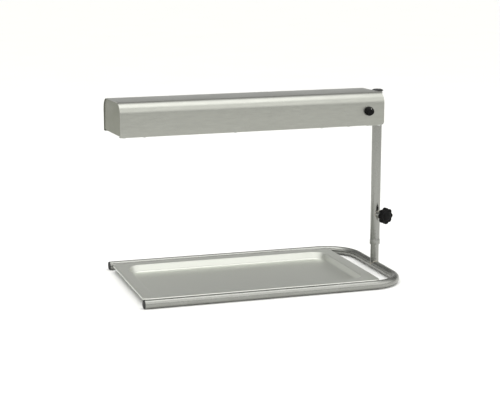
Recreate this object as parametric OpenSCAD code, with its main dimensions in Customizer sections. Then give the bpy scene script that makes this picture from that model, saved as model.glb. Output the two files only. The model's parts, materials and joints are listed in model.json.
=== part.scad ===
// Countertop heat lamp warmer: a tray in a bent tube base, and a lamp hood that one
// telescopic post carries over it. The origin is the centre of the footprint on the
// counter, +X points to the post's end, -Y to the front and +Z up.

/* [Base frame] */
// Outside diameter of the frame tube and of the inner post
tube_d = 19; // [18:0.5:20]
// Wall of the frame tube and of the inner post
tube_wall = 1.5; // [1:0.1:2.5]
// Distance between the centre lines of the two long tubes
frame_gap = 348; // [344:1:400]
// Distance from the open tube ends to the centre line of the post
frame_reach = 584; // [584:1:640]
// Centre-line radius of the two tube bends
bend_r = 75; // [40:1:100]
// How far an end plug's head stands out of its tube
plug_head = 3; // [2:0.5:6]

/* [Tray] */
// Length of the tray over its rim
tray_l = 530; // [480:1:530]
// Width of the tray over its rim
tray_w = 318; // [280:1:318]
// Height of the tray
tray_h = 16.5; // [16:0.5:40]
// Width of the flat rim
rim_w = 27; // [12:1:40]
// Thickness of the tray's sheet
tray_sheet = 0.8; // [0.6:0.1:1.5]
// How far the rim's outer edge is folded down
rim_fold = 4; // [2:0.5:8]
// How much the walls lean in over their height
tray_draft = 6; // [2:0.5:15]
// Distance from the tray's rim to the centre line of the post
tray_setback = 52; // [45:1:54]

/* [Post] */
// Height of the top of the inner post
post_top = 344; // [260:1:345]
// Outside diameter of the sleeve
sleeve_d = 22; // [22:0.5:24]
// Length of the sleeve
sleeve_l = 340; // [250:0.5:340]
// Height of the guide collar under the sleeve
collar_h = 12.5; // [8:0.5:20]
// Distance from the sleeve's lower end up to the clamp screw
clamp_rise = 58; // [30:1:120]
// Direction of the clamp screw, seen from above and counted from the hood's long axis
clamp_angle = -73; // [-90:1:-20]
// Diameter of the clamp knob
clamp_knob_d = 38; // [30:1:50]
// Number of lobes on the clamp knob
clamp_lobes = 8; // [5:1:12]

/* [Hood] */
// Length of the hood
hood_l = 600; // [560:1:640]
// Depth of the hood, front to back
hood_w = 134; // [130:1:150]
// Height of the hood
hood_h = 71; // [71:0.5:80]
// Outside radius of the two long bends
hood_bend_r = 24; // [8:1:24]
// Thickness of the hood's sheet
sheet = 1; // [0.8:0.1:1.5]
// Width of the flanges folded in along the lower edges
flange_w = 12; // [10:1:16]
// Height of the hood's lower edge over the counter at rest
hood_z = 343; // [343:1:400]
// Distance from the hood's end to the centre line of the post
hood_offset = 16; // [15:0.5:20]
// Angle that the hood is swung to the front at rest
hood_swing = 3; // [0:0.5:10]
// Length of the wiring compartment at the post's end
wiring_l = 95; // [90:1:110]

/* [Lamps] */
// Length of a lamp between its holders
lamp_l = 205; // [180:1:205]
// Outside diameter of a quartz tube
lamp_d = 12; // [10:0.5:14]
// Distance between the middles of the two lamps
lamp_pitch = 245; // [240:1:248]
// Height of the lamps over the hood's lower edge
lamp_z = 24; // [22:0.5:28]

/* [Controls] */
// Distance of the regulator knob from the centre line of the post
knob_x = 54; // [50:1:60]
// Height of the regulator knob over the hood's lower edge
knob_z = 32; // [28:1:32]
// Diameter of the regulator knob
knob_d = 20; // [18:1:28]
// Length of the regulator knob
knob_l = 11; // [10:1:18]
// Radius of the bore in the cord gland
gland_bore_r = 3.8; // [3:0.1:4.5]

/* [Hidden] */
$fn = 64;

steel = [0.66, 0.67, 0.63];
bright = [0.80, 0.80, 0.77];
black = [0.05, 0.05, 0.05];
ceramic = [0.93, 0.91, 0.86];

fit = 0.05;         // radial play of a turning or sliding fit
gap = 0.3;          // play between pieces that only stand close
cut = 1;            // how far a cutting shape passes the surface it cuts
hole_play = 0.3;    // radial play of a screw in its hole

tube_r = tube_d / 2;
bore_r = tube_r - tube_wall;
sleeve_r = sleeve_d / 2;
knob_reach = 41;    // outer face of the clamp knob from the centre line of the post
clamp_r = clamp_knob_d / 2;
half_w = hood_w / 2;
hood_left = -hood_offset - hood_l;
hood_right = -hood_offset;

// The bounding box in X runs from the hood's rear left corner to the clamp knob's rim
box_low = hood_left * cos(hood_swing) - half_w * sin(hood_swing);
clamp_world = clamp_angle + hood_swing;
box_high = (knob_reach - 2) * cos(clamp_world) + clamp_r * abs(sin(clamp_world));
post_x = -(box_low + box_high) / 2;

sleeve_top = hood_z + hood_h - 3;
sleeve_z = sleeve_top - sleeve_l;
collar_z = sleeve_z - gap - collar_h;
clamp_z = sleeve_z + clamp_rise;
clamp_hole_r = 4.3;
stud_r = 4;
pad_r = 3.6;
pad_start = tube_r + 0.02;
pad_end = 12.5;
boss_end = 22;
knob_start = 24;

end_inset = 1.5;
end_flange = 14;
part_x = hood_right - wiring_l;
lamp_low = hood_left + 3;
lamp_high = part_x - 2;
lamp_mid = (lamp_low + lamp_high) / 2;
lamp_x = [lamp_mid - lamp_pitch / 2, lamp_mid + lamp_pitch / 2];
guard_wire_d = 2.4;
lip_z = sheet + guard_wire_d;
refl_sheet = 0.8;
refl_top = 48;
refl_half_top = 28;
refl_half_low = 52;
holder_l = 14;
screw_r = 1.9;
screw_y = half_w - 6.5;
lead_r = 1.2;
lead_bend_r = 3;
lead_y = 7.6;
lead_z = 57;
gland_x = -56;
gland_z = 20;
bolt_y = 22;
bolt_z = [16, 48];
plate_t = 2.5;

// ---- shared shapes ----

module ring(outer_r, inner_r) {
  difference() {
    circle(r = outer_r);
    circle(r = inner_r);
  }
}

module tube(outer_r, inner_r, length) {
  linear_extrude(length) ring(outer_r, inner_r);
}

// A rectangle with round corners, centred on the origin
module rounded(length, width, r) {
  square([length - 2 * r, width], center = true);
  square([length, width - 2 * r], center = true);
  for (sx = [-1, 1], sy = [-1, 1])
    translate([sx * (length / 2 - r), sy * (width / 2 - r)]) circle(r = r);
}

// The hood's cross section, drawn inwards by inset: flat below, two round corners above
module hood_outline(inset) {
  r = hood_bend_r - inset;
  w = half_w - inset;
  top = hood_h - inset;
  translate([-w, inset]) square([2 * w, top - inset - r]);
  translate([-(w - r), inset]) square([2 * (w - r), top - inset]);
  for (side = [-1, 1]) translate([side * (w - r), top - r]) circle(r = r);
}

// Stands a cross section (y, z) up and extrudes it from x to x + length
module along_x(x, length) {
  translate([x, 0, 0]) rotate([90, 0, 90]) linear_extrude(length) children();
}

// The post's centre line, with the counter as z = 0
module on_post() {
  translate([post_x, 0, 0]) children();
}

// The post's centre line, turned with the hood
module on_head() {
  on_post() rotate([0, 0, hood_swing]) children();
}

// The hood's own frame: z = 0 at its lower edge
module on_hood() {
  on_head() translate([0, 0, hood_z]) children();
}

// The clamp screw's own frame: z runs outwards from the post's centre line
module on_clamp() {
  on_head() translate([0, 0, clamp_z]) rotate([0, 0, clamp_angle]) rotate([0, 90, 0]) children();
}

// A frame at (x, z) of the hood whose z axis points out of the front or the back
module on_wall(x, z, side) {
  translate([x, 0, z]) rotate([side > 0 ? -90 : 90, 0, 0]) children();
}

// A pan-head screw whose head's flat side is at z = 0 and whose shank rises
module screw(shank_r, shank_l, head_r, head_h) {
  cylinder(r = shank_r, h = shank_l);
  translate([0, 0, -head_h]) cylinder(r = head_r, h = head_h);
}

// A straight piece of round wire between two points
module wire(a, b, r) {
  d = b - a;
  l = norm(d);
  translate(a) rotate([0, acos(d[2] / l), atan2(d[1], d[0])]) cylinder(r = r, h = l);
}

// Round wire along stretches parallel to the axes, with a round bend at each corner
module lead(points) {
  last = len(points) - 1;
  for (i = [1 : last]) {
    along = lead_bend_r * unit(points[i] - points[i - 1]);
    wire(points[i - 1] + (i > 1 ? along : 0 * along),
         points[i] - (i < last ? along : 0 * along), lead_r);
  }
  for (i = [1 : last - 1]) {
    u = unit(points[i - 1] - points[i]);
    v = unit(points[i + 1] - points[i]);
    w = cross(v, u);
    c = points[i] + lead_bend_r * (u + v);
    multmatrix([for (k = [0 : 2]) [-v[k], -u[k], w[k], c[k]]])
      rotate_extrude(angle = 90) translate([lead_bend_r, 0]) circle(r = lead_r);
  }
}

function unit(v) = v / norm(v);

// ---- base ----

module base_frame() color(steel) on_post() translate([0, 0, tube_r]) {
  for (side = [-1, 1]) {
    translate([-frame_reach, side * frame_gap / 2, 0]) rotate([0, 90, 0])
      tube(tube_r, bore_r, frame_reach - bend_r);
    translate([-bend_r, side * (frame_gap / 2 - bend_r), 0]) rotate([0, 0, side < 0 ? -90 : 0])
      rotate_extrude(angle = 90) translate([bend_r, 0]) ring(tube_r, bore_r);
  }
  translate([0, frame_gap / 2 - bend_r, 0]) rotate([90, 0, 0])
    tube(tube_r, bore_r, frame_gap - 2 * bend_r);
}

module end_plug(side) color(black)
  on_post() translate([-frame_reach, side * frame_gap / 2, tube_r]) rotate([0, 90, 0]) {
    cylinder(r = bore_r - fit, h = 14);
    translate([0, 0, -1]) cylinder(r = tube_r, h = 1);
    translate([0, 0, -plug_head]) cylinder(r1 = tube_r - 1.5, r2 = tube_r, h = plug_head - 1);
  }

module front_plug() end_plug(-1);

module rear_plug() end_plug(1);

module inner_post() color(steel) on_post() difference() {
  translate([0, 0, tube_r]) tube(tube_r, bore_r, post_top - tube_r);
  translate([0, 0, tube_r]) rotate([90, 0, 0]) cylinder(r = tube_r, h = 3 * tube_d, center = true);
}

module post_plug() color(black) on_post() translate([0, 0, post_top]) {
  translate([0, 0, -12]) cylinder(r = bore_r - fit, h = 12);
  cylinder(r = tube_r - 0.3, h = 2);
}

// ---- tray ----

// One face of the tray's pressed part: the outline at the rim and at the floor, filled
module tray_body(inset, low) {
  l = tray_l - 2 * (rim_w + inset);
  w = tray_w - 2 * (rim_w + inset);
  flat = 0.01;
  hull() {
    translate([0, 0, tray_h - flat]) linear_extrude(flat) rounded(l, w, 30, $fn = 32);
    translate([0, 0, low])
      linear_extrude(flat) rounded(l - 2 * tray_draft, w - 2 * tray_draft, 24, $fn = 32);
  }
}

module tray() color(steel) on_post() translate([-tray_setback - tray_l / 2, 0, 0]) {
  difference() {
    union() {
      translate([0, 0, tray_h - tray_sheet]) linear_extrude(tray_sheet) rounded(tray_l, tray_w, 16);
      tray_body(0, 0);
    }
    translate([0, 0, 0.02]) tray_body(tray_sheet, tray_sheet);
  }
  translate([0, 0, tray_h - rim_fold]) linear_extrude(rim_fold - tray_sheet) difference() {
    rounded(tray_l, tray_w, 16);
    rounded(tray_l - 2 * tray_sheet, tray_w - 2 * tray_sheet, 16 - tray_sheet);
  }
}

// ---- sleeve and clamp ----

module guide_collar() color(steel) on_head() translate([0, 0, collar_z]) difference() {
  union() {
    cylinder(r = sleeve_r + 0.8, h = collar_h - 2);
    cylinder(r = sleeve_r, h = collar_h);
  }
  translate([0, 0, -cut]) cylinder(r = tube_r + fit, h = collar_h + 2 * cut);
}

module post_sleeve() color(steel) difference() {
  on_head() translate([0, 0, sleeve_z]) tube(sleeve_r, tube_r + fit, sleeve_l);
  on_clamp() cylinder(r = clamp_hole_r, h = 2 * sleeve_r);
}

module sleeve_cap() color(black) on_head() translate([0, 0, sleeve_top]) {
  translate([0, 0, -10]) cylinder(r = tube_r - 0.2, h = 10);
  cylinder(r = sleeve_r + 1.5, h = 3);
  translate([0, 0, 3]) cylinder(r1 = sleeve_r + 1.5, r2 = sleeve_r - 1.5, h = 1.5);
}

module clamp_boss() color(steel) difference() {
  on_clamp() translate([0, 0, sleeve_r - 3]) tube(8, stud_r + fit, boss_end - sleeve_r + 3);
  on_head() translate([0, 0, clamp_z - 20]) cylinder(r = sleeve_r, h = 40);
}

module clamp_pad() color("goldenrod") on_clamp() translate([0, 0, pad_start])
  cylinder(r = pad_r, h = pad_end - pad_start);

module clamp_stud() color(bright) on_clamp() translate([0, 0, pad_end + 0.02])
  cylinder(r = stud_r, h = knob_reach - 6 - pad_end);

module clamp_knob() color(black) on_clamp() difference() {
  union() {
    translate([0, 0, knob_start]) cylinder(r1 = 9, r2 = 11, h = 3);
    translate([0, 0, knob_start + 3]) linear_extrude(knob_reach - knob_start - 5) difference() {
      circle(r = clamp_r);
      for (i = [0 : clamp_lobes - 1]) rotate((i + 0.5) * 360 / clamp_lobes)
        translate([clamp_r + 2.5, 0]) circle(r = 5);
    }
    translate([0, 0, knob_reach - 2]) cylinder(r1 = clamp_r - 4, r2 = clamp_r - 6, h = 2);
  }
  cylinder(r = stud_r, h = knob_reach - 6 + 0.02);
}

// ---- bracket between sleeve and hood ----

module post_bracket() color(steel) on_hood() difference() {
  union() {
    // plate on the hood's end
    translate([hood_right, -30, 3]) cube([plate_t, 60, 58]);
    // two cheeks that hold the sleeve, and their tail under the hood
    for (side = [-1, 1]) translate([0, side * (sleeve_r + plate_t / 2), 0]) {
      translate([hood_right, -plate_t / 2, -8.5]) cube([hood_offset + 4, plate_t, 66]);
      translate([-32, -plate_t / 2, -8.5]) cube([36, plate_t, 8.3]);
    }
    // shelf that carries the hood's end
    translate([-32, -sleeve_r, -2.7]) cube([32 - sleeve_r - 1, 2 * sleeve_r, plate_t]);
  }
  for (sy = [-1, 1], z = bolt_z) translate([hood_right, sy * bolt_y, z])
    rotate([0, 90, 0]) translate([0, 0, -cut]) cylinder(r = 3 + hole_play, h = plate_t + 2 * cut);
}

module bracket_bolts() color(bright) on_hood()
  for (sy = [-1, 1], z = bolt_z) translate([hood_right + plate_t, sy * bolt_y, z])
    rotate([0, 90, 0]) {
      cylinder(r = 5.77, h = 4, $fn = 6);
      translate([0, 0, -14]) cylinder(r = 3, h = 14);
    }

module bracket_nuts() color(bright) on_hood()
  for (sy = [-1, 1], z = bolt_z)
    translate([hood_right - end_inset - sheet - 5, sy * bolt_y, z]) rotate([0, 90, 0]) difference() {
      cylinder(r = 5.77, h = 5, $fn = 6);
      translate([0, 0, -cut]) cylinder(r = 3, h = 5 + 2 * cut);
    }

// ---- hood ----

// Holes for the screws that rise through the lower flanges
module flange_holes(places) {
  for (x = places, sy = [-1, 1]) translate([x, sy * screw_y, -cut])
    cylinder(r = screw_r + hole_play, h = 8);
}

end_screw_x = [hood_left + end_inset + 8, hood_right - end_inset - 8];
cover_screw_x = [part_x + 12, hood_right - 30];
refl_screw_x = [lamp_low + 50, lamp_mid, lamp_high - 50];

module hood_shell() color(steel) on_hood() difference() {
  along_x(hood_left, hood_l) difference() {
    hood_outline(0);
    hood_outline(sheet);
    translate([-half_w + flange_w, -cut]) square([hood_w - 2 * flange_w, 2 * cut + sheet]);
  }
  // round lower corner at the post's end
  difference() {
    translate([hood_right - 7, -half_w - cut, -cut]) cube([7 + cut, hood_w + 2 * cut, 7 + cut]);
    translate([hood_right - 7, 0, 7]) rotate([90, 0, 0])
      cylinder(r = 7, h = hood_w + 4 * cut, center = true);
  }
  flange_holes(end_screw_x);
  flange_holes(cover_screw_x);
  flange_holes(refl_screw_x);
  on_wall(-knob_x, knob_z, -1) translate([0, 0, half_w - 5]) cylinder(r = 5.2, h = 10);
  on_wall(gland_x, gland_z, 1) translate([0, 0, half_w - 5]) cylinder(r = 8 + hole_play, h = 10);
}

// A folded end plate whose flange points to +X, with its outer face at x = 0
module end_plate() {
  along_x(0, sheet) hood_outline(sheet + 0.1);
  along_x(0, end_flange) difference() {
    hood_outline(sheet + 0.1);
    hood_outline(2 * sheet + 0.1);
  }
}

module hood_end_left() color(steel) on_hood() difference() {
  translate([hood_left + end_inset, 0, 0]) end_plate();
  flange_holes([end_screw_x[0]]);
}

module hood_end_right() color(steel) on_hood() difference() {
  translate([hood_right - end_inset, 0, 0]) mirror([1, 0, 0]) end_plate();
  flange_holes([end_screw_x[1]]);
  for (sy = [-1, 1], z = bolt_z) translate([hood_right - 8, sy * bolt_y, z])
    rotate([0, 90, 0]) cylinder(r = 3 + hole_play, h = 10);
}

module flange_screws(places) {
  for (x = places, sy = [-1, 1]) translate([x, sy * screw_y, 0]) screw(screw_r, 8, 3.6, 2);
}

module end_screws() color(bright) on_hood() flange_screws(end_screw_x);

module partition() color(bright) on_hood() difference() {
  along_x(part_x - sheet, sheet) hood_outline(sheet + 0.2);
  for (side = [-1, 1]) translate([part_x, side * lead_y, lead_z]) rotate([0, 90, 0])
    cylinder(r = 2.6, h = 6, center = true);
}

module wiring_cover() color(steel) on_hood() difference() {
  translate([part_x + 0.5, -half_w + 3, sheet + 0.1])
    cube([wiring_l - end_inset - end_flange - 1, hood_w - 6, sheet]);
  flange_holes(cover_screw_x);
  for (i = [0 : 4]) translate([part_x + 20 + i * 10, -30, 0]) cube([4, 60, 4]);
}

module cover_screws() color(bright) on_hood() flange_screws(cover_screw_x);

// ---- lamps ----

module reflector_outline(inset) {
  lean = (refl_half_low - refl_half_top) / (refl_top - lip_z);
  polygon([
    [-refl_half_low - inset - (inset > 0 ? 0 : lean), lip_z - (inset > 0 ? 0 : 1)],
    [refl_half_low + inset + (inset > 0 ? 0 : lean), lip_z - (inset > 0 ? 0 : 1)],
    [refl_half_top + inset, refl_top + inset],
    [-refl_half_top - inset, refl_top + inset]]);
}

module reflector() color(bright) on_hood() difference() {
  along_x(lamp_low, lamp_high - lamp_low) {
    difference() {
      reflector_outline(refl_sheet);
      reflector_outline(0);
    }
    for (side = [-1, 1]) translate([side * 58.5 - 6, lip_z]) square([12, refl_sheet]);
  }
  flange_holes(refl_screw_x);
  flange_holes([end_screw_x[0]]);
  for (x = holder_x()) translate([x, 0, refl_top - cut]) cylinder(r = screw_r + hole_play, h = 4);
  for (i = [0 : 3]) translate([holder_x()[i], lead_side(i) * lead_y, refl_top - cut])
    cylinder(r = lead_r + hole_play, h = 4);
}

module reflector_screws() color(bright) on_hood() flange_screws(refl_screw_x);

module wire_guard() color(bright) on_hood() {
  first = hood_left + 28;
  last = part_x - 14;
  count = 11;
  r = guard_wire_d / 2;
  for (i = [0 : count - 1])
    wire([first + i * (last - first) / (count - 1), -58, sheet + r],
         [first + i * (last - first) / (count - 1), 58, sheet + r], r);
  for (y = [-42, -14, 14, 42])
    wire([first - 2, y, sheet + 3 * r - 0.1], [last + 2, y, sheet + 3 * r - 0.1], r);
}

// Middles of the four lamp holders, from left to right
function holder_x() = [for (x = lamp_x, side = [-1, 1]) x + side * (lamp_l + holder_l) / 2];
// Which way a holder faces its lamp, and which lead feeds it
function holder_face(i) = i % 2 == 0 ? 1 : -1;
function lead_side(i) = i % 2 == 0 ? -1 : 1;

cap_l = 9.8;
glass_l = lamp_l - 2 * cap_l - 0.4;

module quartz_tubes() color([0.85, 0.88, 0.9, 0.5]) on_hood()
  for (x = lamp_x) translate([x - glass_l / 2, 0, lamp_z]) rotate([0, 90, 0])
    tube(lamp_d / 2, lamp_d / 2 - 1, glass_l);

module lamp_caps() color(ceramic) on_hood()
  for (x = lamp_x, side = [-1, 1])
    translate([x + side * glass_l / 2, 0, lamp_z]) rotate([0, side * 90, 0]) {
      cylinder(r = lamp_d / 2 + 0.5, h = cap_l);
      cylinder(r = 3.8, h = cap_l + 4);
    }

module filaments() color([0.35, 0.33, 0.3]) on_hood()
  for (x = lamp_x) translate([x - glass_l / 2, 0, lamp_z]) rotate([0, 90, 0])
    cylinder(r = 1, h = glass_l, $fn = 24);

module lamp_holders() color(ceramic) on_hood()
  for (i = [0 : 3]) translate([holder_x()[i], 0, lamp_z]) difference() {
    translate([-holder_l / 2, -9, -11]) cube([holder_l, 18, 22]);
    translate([holder_face(i) * holder_l / 2, 0, 0]) rotate([0, 90, 0])
      cylinder(r = 4.2, h = 10, center = true);
  }

module holder_brackets() color(steel) on_hood()
  for (i = [0 : 3]) translate([holder_x()[i], 0, 0]) facing(holder_face(i)) {
    difference() {
      translate([-holder_l / 2 - 1.2, -6, refl_top - 1.2]) cube([holder_l + 1.2, 12, 1.2]);
      cylinder(r = screw_r, h = 100);
    }
    translate([-holder_l / 2 - 1.2, -6, lamp_z - 9]) cube([1.2, 12, refl_top - lamp_z + 8]);
  }

// Mirrors its children in X when face is -1
module facing(face) {
  if (face < 0) mirror([1, 0, 0]) children();
  else children();
}

module holder_screws() color(bright) on_hood()
  for (x = holder_x()) translate([x, 0, refl_top + refl_sheet]) mirror([0, 0, 1])
    screw(screw_r, 6, 3.4, 2);

// ---- controls and wiring ----

module regulator_body() color("dimgray") on_hood() on_wall(-knob_x, knob_z, -1) difference() {
  union() {
    translate([-20, -23.5, half_w - sheet - 34]) cube([40, 38.5, 34]);
    cylinder(r = 4.8, h = half_w + 4);
  }
  translate([0, 0, half_w - 18]) cylinder(r = 3 + fit, h = 30);
}

module regulator_nut() color(bright) on_hood() on_wall(-knob_x, knob_z, -1)
  translate([0, 0, half_w]) difference() {
    cylinder(r = 7.5, h = 2, $fn = 6);
    translate([0, 0, -cut]) cylinder(r = 4.8, h = 4);
  }

module regulator_shaft() color(bright) on_hood() on_wall(-knob_x, knob_z, -1)
  translate([0, 0, half_w - 17.5]) cylinder(r = 3, h = 28);

module regulator_knob() color(black) on_hood() on_wall(-knob_x, knob_z, -1)
  translate([0, 0, half_w + 2.4]) difference() {
    union() {
      cylinder(r = knob_d / 2, h = 3);
      linear_extrude(knob_l - 1) difference() {
        circle(r = knob_d / 2 - 0.8);
        for (i = [0 : 15]) rotate(i * 22.5) translate([knob_d / 2 + 0.3, 0]) circle(r = 1.6);
      }
      cylinder(r = knob_d / 2 - 3, h = knob_l);
    }
    translate([0, 0, -cut]) cylinder(r = 5.2, h = cut + 2.4);
    cylinder(r = 3, h = 8.1);
  }

// Middle of a terminal's bore along X; the bores open at terminal_y
function terminal_x(i) = part_x + 16 + 12 * i;
terminal_y = half_w - sheet - 14;
terminal_z = 35.5;

module terminal_block() color([0.9, 0.89, 0.84]) on_hood() difference() {
  translate([part_x + 10, terminal_y, terminal_z - 5]) cube([36, 14, 16]);
  for (i = [0 : 2]) translate([terminal_x(i), terminal_y - cut, terminal_z])
    rotate([-90, 0, 0]) cylinder(r = 2, h = 8);
}

module terminal_screws() color("darkgoldenrod") on_hood()
  for (i = [0 : 2]) translate([terminal_x(i), terminal_y + 3.5, terminal_z + 11])
    cylinder(r = 2, h = 1.2);

module earth_stud() color("darkgoldenrod") on_hood() on_wall(part_x + 20, 16, 1) {
  translate([0, 0, half_w - sheet - 16]) cylinder(r = 2.5, h = 16);
  translate([0, 0, half_w - sheet - 8]) cylinder(r = 4.6, h = 4, $fn = 6);
}

module lamp_leads() color([0.85, 0.82, 0.75]) on_hood() {
  // the tail that drops from a lead to each holder it feeds
  for (i = [0 : 3]) translate([holder_x()[i], lead_side(i) * lead_y, lamp_z + 11])
    cylinder(r = lead_r - 0.1, h = lead_z - lamp_z - 11);
  // one side of the lamps to the regulator
  lead([[holder_x()[1] - 2, lead_y, lead_z], [part_x + 30, lead_y, lead_z],
        [part_x + 30, -40, lead_z], [-knob_x - 10, -40, lead_z], [-knob_x - 10, -40, knob_z + 15]]);
  // the other side to the terminal block
  lead([[holder_x()[0] - 2, -lead_y, lead_z], [terminal_x(0), -lead_y, lead_z],
        [terminal_x(0), -lead_y, terminal_z], [terminal_x(0), terminal_y + 5, terminal_z]]);
  // the regulator's feed
  lead([[-knob_x + 6, -40, knob_z + 15], [-knob_x + 6, -40, 56], [-knob_x + 6, 20, 56],
        [-knob_x + 6, 20, terminal_z], [terminal_x(2), 20, terminal_z],
        [terminal_x(2), terminal_y + 5, terminal_z]]);
}

module lead_grommets() color(black) on_hood()
  for (side = [-1, 1]) translate([part_x - sheet - 1.2, side * lead_y, lead_z]) rotate([0, 90, 0])
    difference() {
      union() {
        cylinder(r = 2.55, h = sheet + 2.4);
        cylinder(r = 3.6, h = 1.2);
        translate([0, 0, sheet + 1.2]) cylinder(r = 3.6, h = 1.2);
      }
      translate([0, 0, -cut]) cylinder(r = lead_r, h = 8);
    }

// The gland's z axis points out of the hood's back
module on_gland() {
  on_hood() on_wall(gland_x, gland_z, 1) translate([0, 0, half_w]) children();
}

module gland_body() color(black) on_gland() difference() {
  union() {
    translate([0, 0, -10]) cylinder(r = 8, h = 20);
    cylinder(r = 11, h = 5, $fn = 6);
  }
  translate([0, 0, -10 - cut]) cylinder(r = gland_bore_r, h = 20 + 2 * cut);
}

module gland_nut() color(black) on_gland() difference() {
  translate([0, 0, -sheet - 4]) cylinder(r = 11, h = 4, $fn = 6);
  translate([0, 0, -sheet - 4 - cut]) cylinder(r = 8, h = 4 + 2 * cut);
}

module gland_cap() color(black) on_gland() difference() {
  union() {
    translate([0, 0, 5.2]) cylinder(r = 10, h = 9);
    translate([0, 0, 14.2]) cylinder(r1 = 10, r2 = 6, h = 6);
  }
  translate([0, 0, 5]) cylinder(r = 8, h = 5.2);
  translate([0, 0, 5]) cylinder(r = gland_bore_r, h = 20);
}

base_frame();
front_plug();
rear_plug();
inner_post();
post_plug();
tray();
guide_collar();
post_sleeve();
sleeve_cap();
clamp_boss();
clamp_pad();
clamp_stud();
clamp_knob();
post_bracket();
bracket_bolts();
bracket_nuts();
hood_shell();
hood_end_left();
hood_end_right();
end_screws();
partition();
wiring_cover();
cover_screws();
reflector();
reflector_screws();
wire_guard();
quartz_tubes();
lamp_caps();
filaments();
lamp_holders();
holder_brackets();
holder_screws();
regulator_body();
regulator_nut();
regulator_shaft();
regulator_knob();
terminal_block();
terminal_screws();
earth_stud();
lamp_leads();
lead_grommets();
gland_body();
gland_nut();
gland_cap();
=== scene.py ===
"""Heat lamp warmer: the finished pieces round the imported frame, laid out as an add-on."""
import json
import math

import bmesh
import bpy
from mathutils import Matrix, Vector


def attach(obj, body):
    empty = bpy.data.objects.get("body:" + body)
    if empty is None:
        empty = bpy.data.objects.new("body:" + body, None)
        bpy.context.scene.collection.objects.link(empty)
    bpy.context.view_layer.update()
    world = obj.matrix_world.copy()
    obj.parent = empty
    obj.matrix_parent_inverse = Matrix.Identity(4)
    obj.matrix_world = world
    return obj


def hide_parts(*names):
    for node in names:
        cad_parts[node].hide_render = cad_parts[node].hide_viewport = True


bl_info = {
    "name": "Heat Lamp Warmer",
    "version": (1, 0, 0),
    "blender": (4, 5, 0),
    "location": "3D View > Sidebar > Warmer",
    "description": "Builds a countertop heat lamp warmer and its studio round the frame",
    "category": "Object",
}

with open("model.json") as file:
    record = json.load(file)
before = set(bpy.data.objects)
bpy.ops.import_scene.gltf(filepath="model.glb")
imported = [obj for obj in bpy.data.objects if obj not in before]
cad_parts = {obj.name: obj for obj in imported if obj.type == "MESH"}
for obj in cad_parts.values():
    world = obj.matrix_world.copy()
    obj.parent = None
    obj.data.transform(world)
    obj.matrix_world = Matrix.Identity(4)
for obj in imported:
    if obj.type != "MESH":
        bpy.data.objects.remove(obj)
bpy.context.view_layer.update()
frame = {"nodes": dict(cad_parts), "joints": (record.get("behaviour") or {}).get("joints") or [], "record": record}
MM = 0.001
TURN = 2 * math.pi

# ---- places, read from the frame ----


def joint(name):
    """The joint's entry in the record."""
    return next(j for j in frame["joints"] if j["name"] == name)


def facing(origin, axis, up=(0, 0, 1)):
    """A frame at origin whose Z runs along axis and whose X points up."""
    z = Vector(axis).normalized()
    y = z.cross(Vector(up)).normalized()
    turn = Matrix((y.cross(z), y, z)).transposed()
    return Matrix.Translation(origin) @ turn.to_4x4()


def span(node, place=Matrix.Identity(4)):
    """Lowest and highest corner of a node, measured in the frame called place."""
    inside = place.inverted()
    points = [inside @ v.co for v in frame["nodes"][node].data.vertices]
    low = Vector([min(p[k] for p in points) for k in range(3)])
    high = Vector([max(p[k] for p in points) for k in range(3)])
    return low, high


def lengthwise(place, axis):
    """The frame place with its axes renamed, so that X runs along the one named."""
    columns = [place.col[k].to_3d() for k in range(3)]
    first = "XYZ".index(axis)
    turn = Matrix([columns[(first + k) % 3] for k in range(3)]).transposed()
    return Matrix.Translation(place.translation) @ turn.to_4x4()


def post_axis():
    """The centre line of the post, with the counter as z = 0."""
    low, high = span("inner_post")
    return Matrix.Translation(((low.x + high.x) / 2, (low.y + high.y) / 2, 0))


def cord_mount():
    """The mount where the cord enters."""
    return next(m for m in frame["record"]["mounts"] if m["name"] == "cord_entry")


WORLD = Matrix.Identity(4)
POST = post_axis()
REAR_WALL = Vector(cord_mount()["axis"])
HEAD = POST @ Matrix.Rotation(math.atan2(-REAR_WALL.x, REAR_WALL.y), 4, "Z")
CLAMP_HEIGHT = joint("clamp_turn")["pos_m"][2]
CLAMP = facing(POST @ Vector((0, 0, CLAMP_HEIGHT)), joint("clamp_turn")["axis"])
DIAL = facing(joint("regulator_turn")["pos_m"], joint("regulator_turn")["axis"])
GLAND = facing(cord_mount()["pos_m"], REAR_WALL)

# ---- settings ----


def length(label, about, millimetres):
    """A length that the user can change, given in millimetres."""
    return bpy.props.FloatProperty(
        name=label, description=about, default=millimetres * MM, min=0, unit="LENGTH", precision=5
    )


def colour(label, about, rgb):
    """A colour that the user can change, as linear red, green and blue."""
    return bpy.props.FloatVectorProperty(
        name=label, description=about, default=rgb, min=0, max=1, size=3, subtype="COLOR"
    )


def share(label, about, value):
    """A number from 0 to 1 that the user can change."""
    return bpy.props.FloatProperty(
        name=label, description=about, default=value, min=0, max=1, subtype="FACTOR"
    )


def count(label, about, value):
    """A whole number that the user can change."""
    return bpy.props.IntProperty(name=label, description=about, default=value, min=1)


class BaseSettings(bpy.types.PropertyGroup):
    """The bent tube, its plugs and the post."""

    bend_radius: length("Bend radius", "Centre-line radius of the two tube bends", 75)
    wall: length("Tube wall", "Wall thickness of the tubes", 1.5)
    bead: length("Weld bead", "Radius of the bead of weld metal", 1.1)
    ripple: length("Weld ripple", "Distance from one ripple of a weld to the next", 1.6)
    plug_round: length("Plug rounding", "Rounding of the end plugs' heads", 2.2)


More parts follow.
